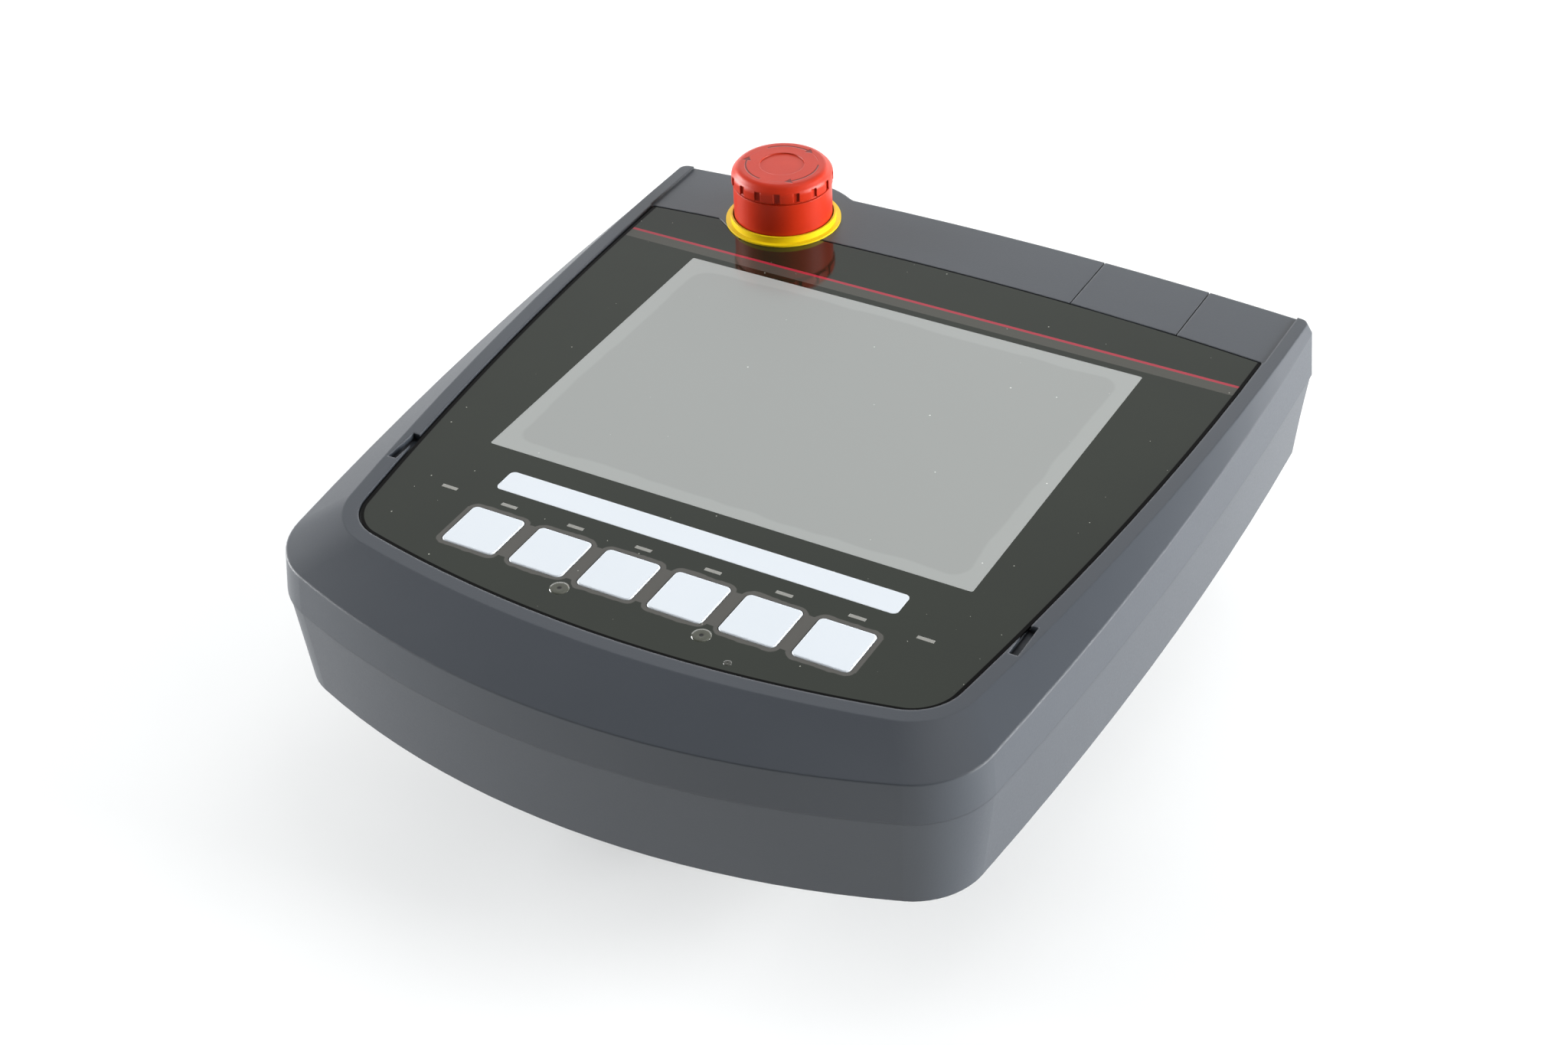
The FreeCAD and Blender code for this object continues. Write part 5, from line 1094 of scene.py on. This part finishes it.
@dataclass
class FrontFace(Assembly):
    """The film with its window, keys and lamps, and the dimples pressed into the film."""

    keys: int = 6
    dimple_at: Pair = (19.2, -92.3)
    dimple_radius: float = 2.4
    dimple_rise: float = 0.16
    dimple_pit: float = 0.55
    dot_at: Pair = (29.4, -98.1)
    dot_radius: float = 1.0
    dot_rise: float = 0.10
    dot_pit: float = 0.3
    # Shares of the radius and of the rise along a dome's section, from its middle to below its rim.
    dome_section: tuple[Pair, ...] = (
        (0.0, 0.25), (0.16, 0.3), (0.34, 0.85), (0.55, 1.0), (0.8, 0.7), (1.0, 0.05), (1.0, -0.3),
    )
    dome_steps: int = 32
    # Metres within which points become one.
    merge_reach: float = 1e-7

    def __post_init__(self) -> None:
        """Name the face's nodes."""
        self.nodes = {
            Slot.FILM: ["front_overlay"],
            Slot.WINDOW: ["display_window"],
            Slot.WHITE: ["label_strip"] + [f"function_key_{number + 1}" for number in range(self.keys)],
            Slot.LAMP: ["light_pipes", "indicator_leds"],
            Slot.GLASS: ["touch_panel"],
        }

    def dome(self, at: Pair, radius: float, rise: float) -> Shape:
        """Spin a low dome with a shallow pit onto the film.

        Args:
            at: its middle from the display's middle, in millimetres.
            radius: its outer radius in millimetres.
            rise: its height over the film in millimetres.

        Returns:
            The closed shape.
        """
        shape = bmesh.new()
        middle = Vector((at[0] + DISPLAY_MIDDLE[0], at[1] + DISPLAY_MIDDLE[1], FILM_FACE)) * MM
        points = []
        for share, height in self.dome_section:
            points.append(shape.verts.new(middle + Vector((share * radius, 0.0, height * rise)) * MM))
        line = [shape.edges.new(pair) for pair in zip(points, points[1:])]
        bmesh.ops.spin(
            shape,
            geom=points + line,
            cent=middle,
            axis=(0.0, 0.0, 1.0),
            angle=math.tau,
            steps=self.dome_steps,
            use_merge=True,
        )
        bmesh.ops.remove_doubles(shape, verts=shape.verts, dist=self.merge_reach)
        close_rims(shape)
        return shape

    def build(self) -> None:
        """Press the two dimples and the dot into the film."""
        x, y = self.dimple_at
        # The film's own polyester, stretched over a stud: paler than the ink, with a dark pit.
        film = PressedDimple(
            "pressed_film_dimple", "#474940", "#0b0c09", at=self.dimple_at, pit_radius=self.dimple_pit
        ).material()
        for side, sign in (("left", -1), ("right", 1)):
            shape = self.dome((sign * x, y), self.dimple_radius, self.dimple_rise)
            self.add_piece(f"film_dimple_{side}", shape, film, Rider.HOUSING, Slot.FILM)
        # The same, over a smaller stud that leaves hardly any pit.
        film = PressedDimple(
            "pressed_film_dot", "#3a3b36", "#34352f", at=self.dot_at, pit_radius=self.dot_pit
        ).material()
        shape = self.dome(self.dot_at, self.dot_radius, self.dot_rise)
        self.add_piece("film_dot", shape, film, Rider.HOUSING, Slot.FILM)


@dataclass
class StopButton(Assembly):
    """The emergency stop, from its red head to its contacts."""

    spring: WoundSpring = WoundSpring(
        fixed_ends=((-55.2, 92.9, 69.6),),
        axis=(0.0, 0.0, 1.0),
        length=7.0,
        radius=5.6,
        stroke=3.0,
        open_turns=3,
    )

    def __post_init__(self) -> None:
        """Name the stop's nodes."""
        self.nodes = {
            Slot.RED: ["stop_head"],
            Slot.YELLOW: ["stop_collar"],
            Slot.BLACK: ["stop_barrel", "stop_nut", "stop_plunger", "stop_contacts"],
            Slot.STEEL: ["stop_spring"],
        }

    def build(self) -> None:
        """Wind the return spring in place of the solid model's stack of rings."""
        material = self.book.made[Slot.STEEL]
        shape = self.spring.wind()
        piece = self.add_piece("stop_spring_wound", shape, material, Rider.HOUSING, Slot.STEEL)
        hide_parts("stop_spring")
        self.spring.yield_to(piece, "stop_push")


@dataclass
class GripUnit(Assembly):
    """The grip housing with its enabling switch."""

    springs: WoundSpring = WoundSpring(
        fixed_ends=((-36.0, -12.45, 21.0), (-36.0, 43.55, 21.0)),
        axis=(-1.0, 0.0, 0.0),
        length=13.4,
        radius=4.0,
        stroke=4.5,
        open_turns=6,
    )

    def __post_init__(self) -> None:
        """Name the grip's nodes."""
        self.nodes = {
            Slot.CASE: ["grip_housing"],
            Slot.BLACK: ["grip_lever", "grip_plunger", "enabling_switch"],
            Slot.STEEL: ["grip_screws", "grip_bracket", "grip_bracket_screws", "grip_springs"],
        }

    def build(self) -> None:
        """Wind the lever's two springs in place of the solid model's stacks of rings."""
        material = self.book.made[Slot.STEEL]
        shape = self.springs.wind()
        piece = self.add_piece("grip_springs_wound", shape, material, Rider.HOUSING, Slot.STEEL)
        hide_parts("grip_springs")
        self.springs.yield_to(piece, "grip_press")


@dataclass
class CableInlet(Assembly):
    """The gland that lets a control cable in."""

    axis: Triple = (16.0, 0.0, 18.0)

    def __post_init__(self) -> None:
        """Name the inlet's nodes."""
        self.nodes = {
            Slot.BLACK: ["cable_gland", "gland_cap", "gland_nut"],
            Slot.RUBBER: ["gland_seal"],
        }

    def build(self) -> None:
        """Give the cap nut its grip ribs."""
        # Black polyamide as on the rest of the inlet, ribbed so that fingers can turn it, the grooves
        # darkened with painted shade.
        self.special["gland_cap"] = RibbedPlastic(
            "polyamide_black_ribbed", *BLACK_POLYAMIDE, middle=self.axis, sunk_shade="#0c0d0e"
        ).material()


@dataclass
class InnerWorks(Assembly):
    """The boards, the display and their fixings inside the case."""

    def __post_init__(self) -> None:
        """Name the inner nodes."""
        self.nodes = {
            Slot.BLACK: ["display_module", "key_switches", "board_connectors", "terminal_blocks"],
            Slot.STEEL: [
                "display_bracket", "bracket_screws", "key_board_screws", "board_spacers",
                "main_board_screws", "shield_can", "backup_battery", "port_board_screws",
                "port_sockets", "terminal_screws",
            ],
            Slot.BOARD: ["key_board", "main_board", "port_board", "terminal_board"],
            Slot.RUBBER: ["display_gasket"],
        }


@dataclass(frozen=True)
class Softbox:
    """One rectangular studio light."""

    name: str
    place: Triple
    aim: Triple
    size: Pair
    power: float

    def hang(self) -> None:
        """Hang the light and turn it to what it lights."""
        lamp = bpy.data.lights.new(self.name, "AREA")
        lamp.shape = "RECTANGLE"
        lamp.size, lamp.size_y = self.size
        lamp.energy = self.power
        holder = show(self.name, lamp)
        holder.location = self.place
        holder.rotation_euler = (Vector(self.aim) - Vector(self.place)).to_track_quat("-Z", "Y").to_euler()


@dataclass(frozen=True)
class Studio:
    """White paper floor, soft light and the photograph's camera."""

    floor_side: float = 9.0
    floor_squares: int = 4
    air: float = 0.2
    air_colour: str = "#fcfdff"
    focal_mm: float = 61.19
    sensor_mm: float = 36.0
    # Metres from the lens within which nothing is drawn.
    clip: float = 0.01
    place: Triple = (0.2732, -0.4770, 0.4590)
    right: Triple = (0.874192, 0.484761, -0.02818)
    up: Triple = (-0.269181, 0.532092, 0.802758)
    back: Triple = (0.40414, -0.694179, 0.595639)
    lights: tuple[Softbox, ...] = (
        Softbox("overhead_softbox", (0.3, 0.45, 1.7), (0.0, 0.0, 0.05), (1.2, 1.0), 5.0),
        Softbox("right_softbox", (1.4, 0.5, 0.4), (0.0, 0.0, 0.05), (1.0, 0.8), 56.0),
        Softbox("left_softbox", (-1.5, -0.2, 0.4), (0.0, 0.0, 0.05), (1.0, 0.8), 46.0),
        # The film mirrors this panel, so it is large and even.
        Softbox("back_panel", (-0.95, 1.65, 1.45), (0.0, 0.0, 0.08), (2.6, 2.0), 7.6),
        # The foot of the paper sweep, which the rails and the right-hand slope mirror at a low angle.
        Softbox("sweep_foot", (-0.3, 1.9, 0.5), (0.0, 0.0, 0.08), (4.4, 0.5), 25.0),
    )

    def lay_floor(self) -> None:
        """Lay the paper that the panel stands on."""
        shape = bmesh.new()
        squares = {"x_segments": self.floor_squares, "y_segments": self.floor_squares}
        bmesh.ops.create_grid(shape, **squares, size=self.floor_side / 2)
        floor = show("studio_floor", make_mesh("studio_floor", shape, FloorPaper().material()))

    def light(self) -> None:
        """Light the set from both sides, from above and from behind."""
        world = bpy.data.worlds.new("studio_air")
        world.use_nodes = True
        tree = world.node_tree
        tree.nodes.clear()
        setup = {"Color": linear(self.air_colour), "Strength": self.air}
        glow = add_node(tree, "ShaderNodeBackground", setup)
        add_node(tree, "ShaderNodeOutputWorld", {"Surface": glow.outputs[0]})
        bpy.context.scene.world = world
        for softbox in self.lights:
            softbox.hang()
        bpy.context.scene.view_settings.view_transform = "Standard"

    def aim_camera(self) -> None:
        """Put the camera where the photograph was taken from."""
        lens = bpy.data.cameras.new("photo_camera")
        lens.sensor_fit = "HORIZONTAL"
        lens.sensor_width = self.sensor_mm
        lens.lens = self.focal_mm
        lens.clip_start = self.clip
        camera = show("photo_camera", lens)
        axes = Matrix((self.right, self.up, self.back)).transposed()
        camera.matrix_world = Matrix.Translation(self.place) @ axes.to_4x4()
        bpy.context.scene.camera = camera


def main() -> None:
    """Dress the sub-assemblies in order, then set up the studio."""
    logging.basicConfig(level=logging.INFO, format="%(message)s")
    book = FinishBook()
    book.fill()
    for kind in (CaseShell, FrontFace, StopButton, GripUnit, CableInlet, InnerWorks):
        assembly = kind(book)
        assembly.build()
        assembly.dress()
    studio = Studio()
    studio.lay_floor()
    studio.light()
    studio.aim_camera()


if __name__ == "__main__":
    main()
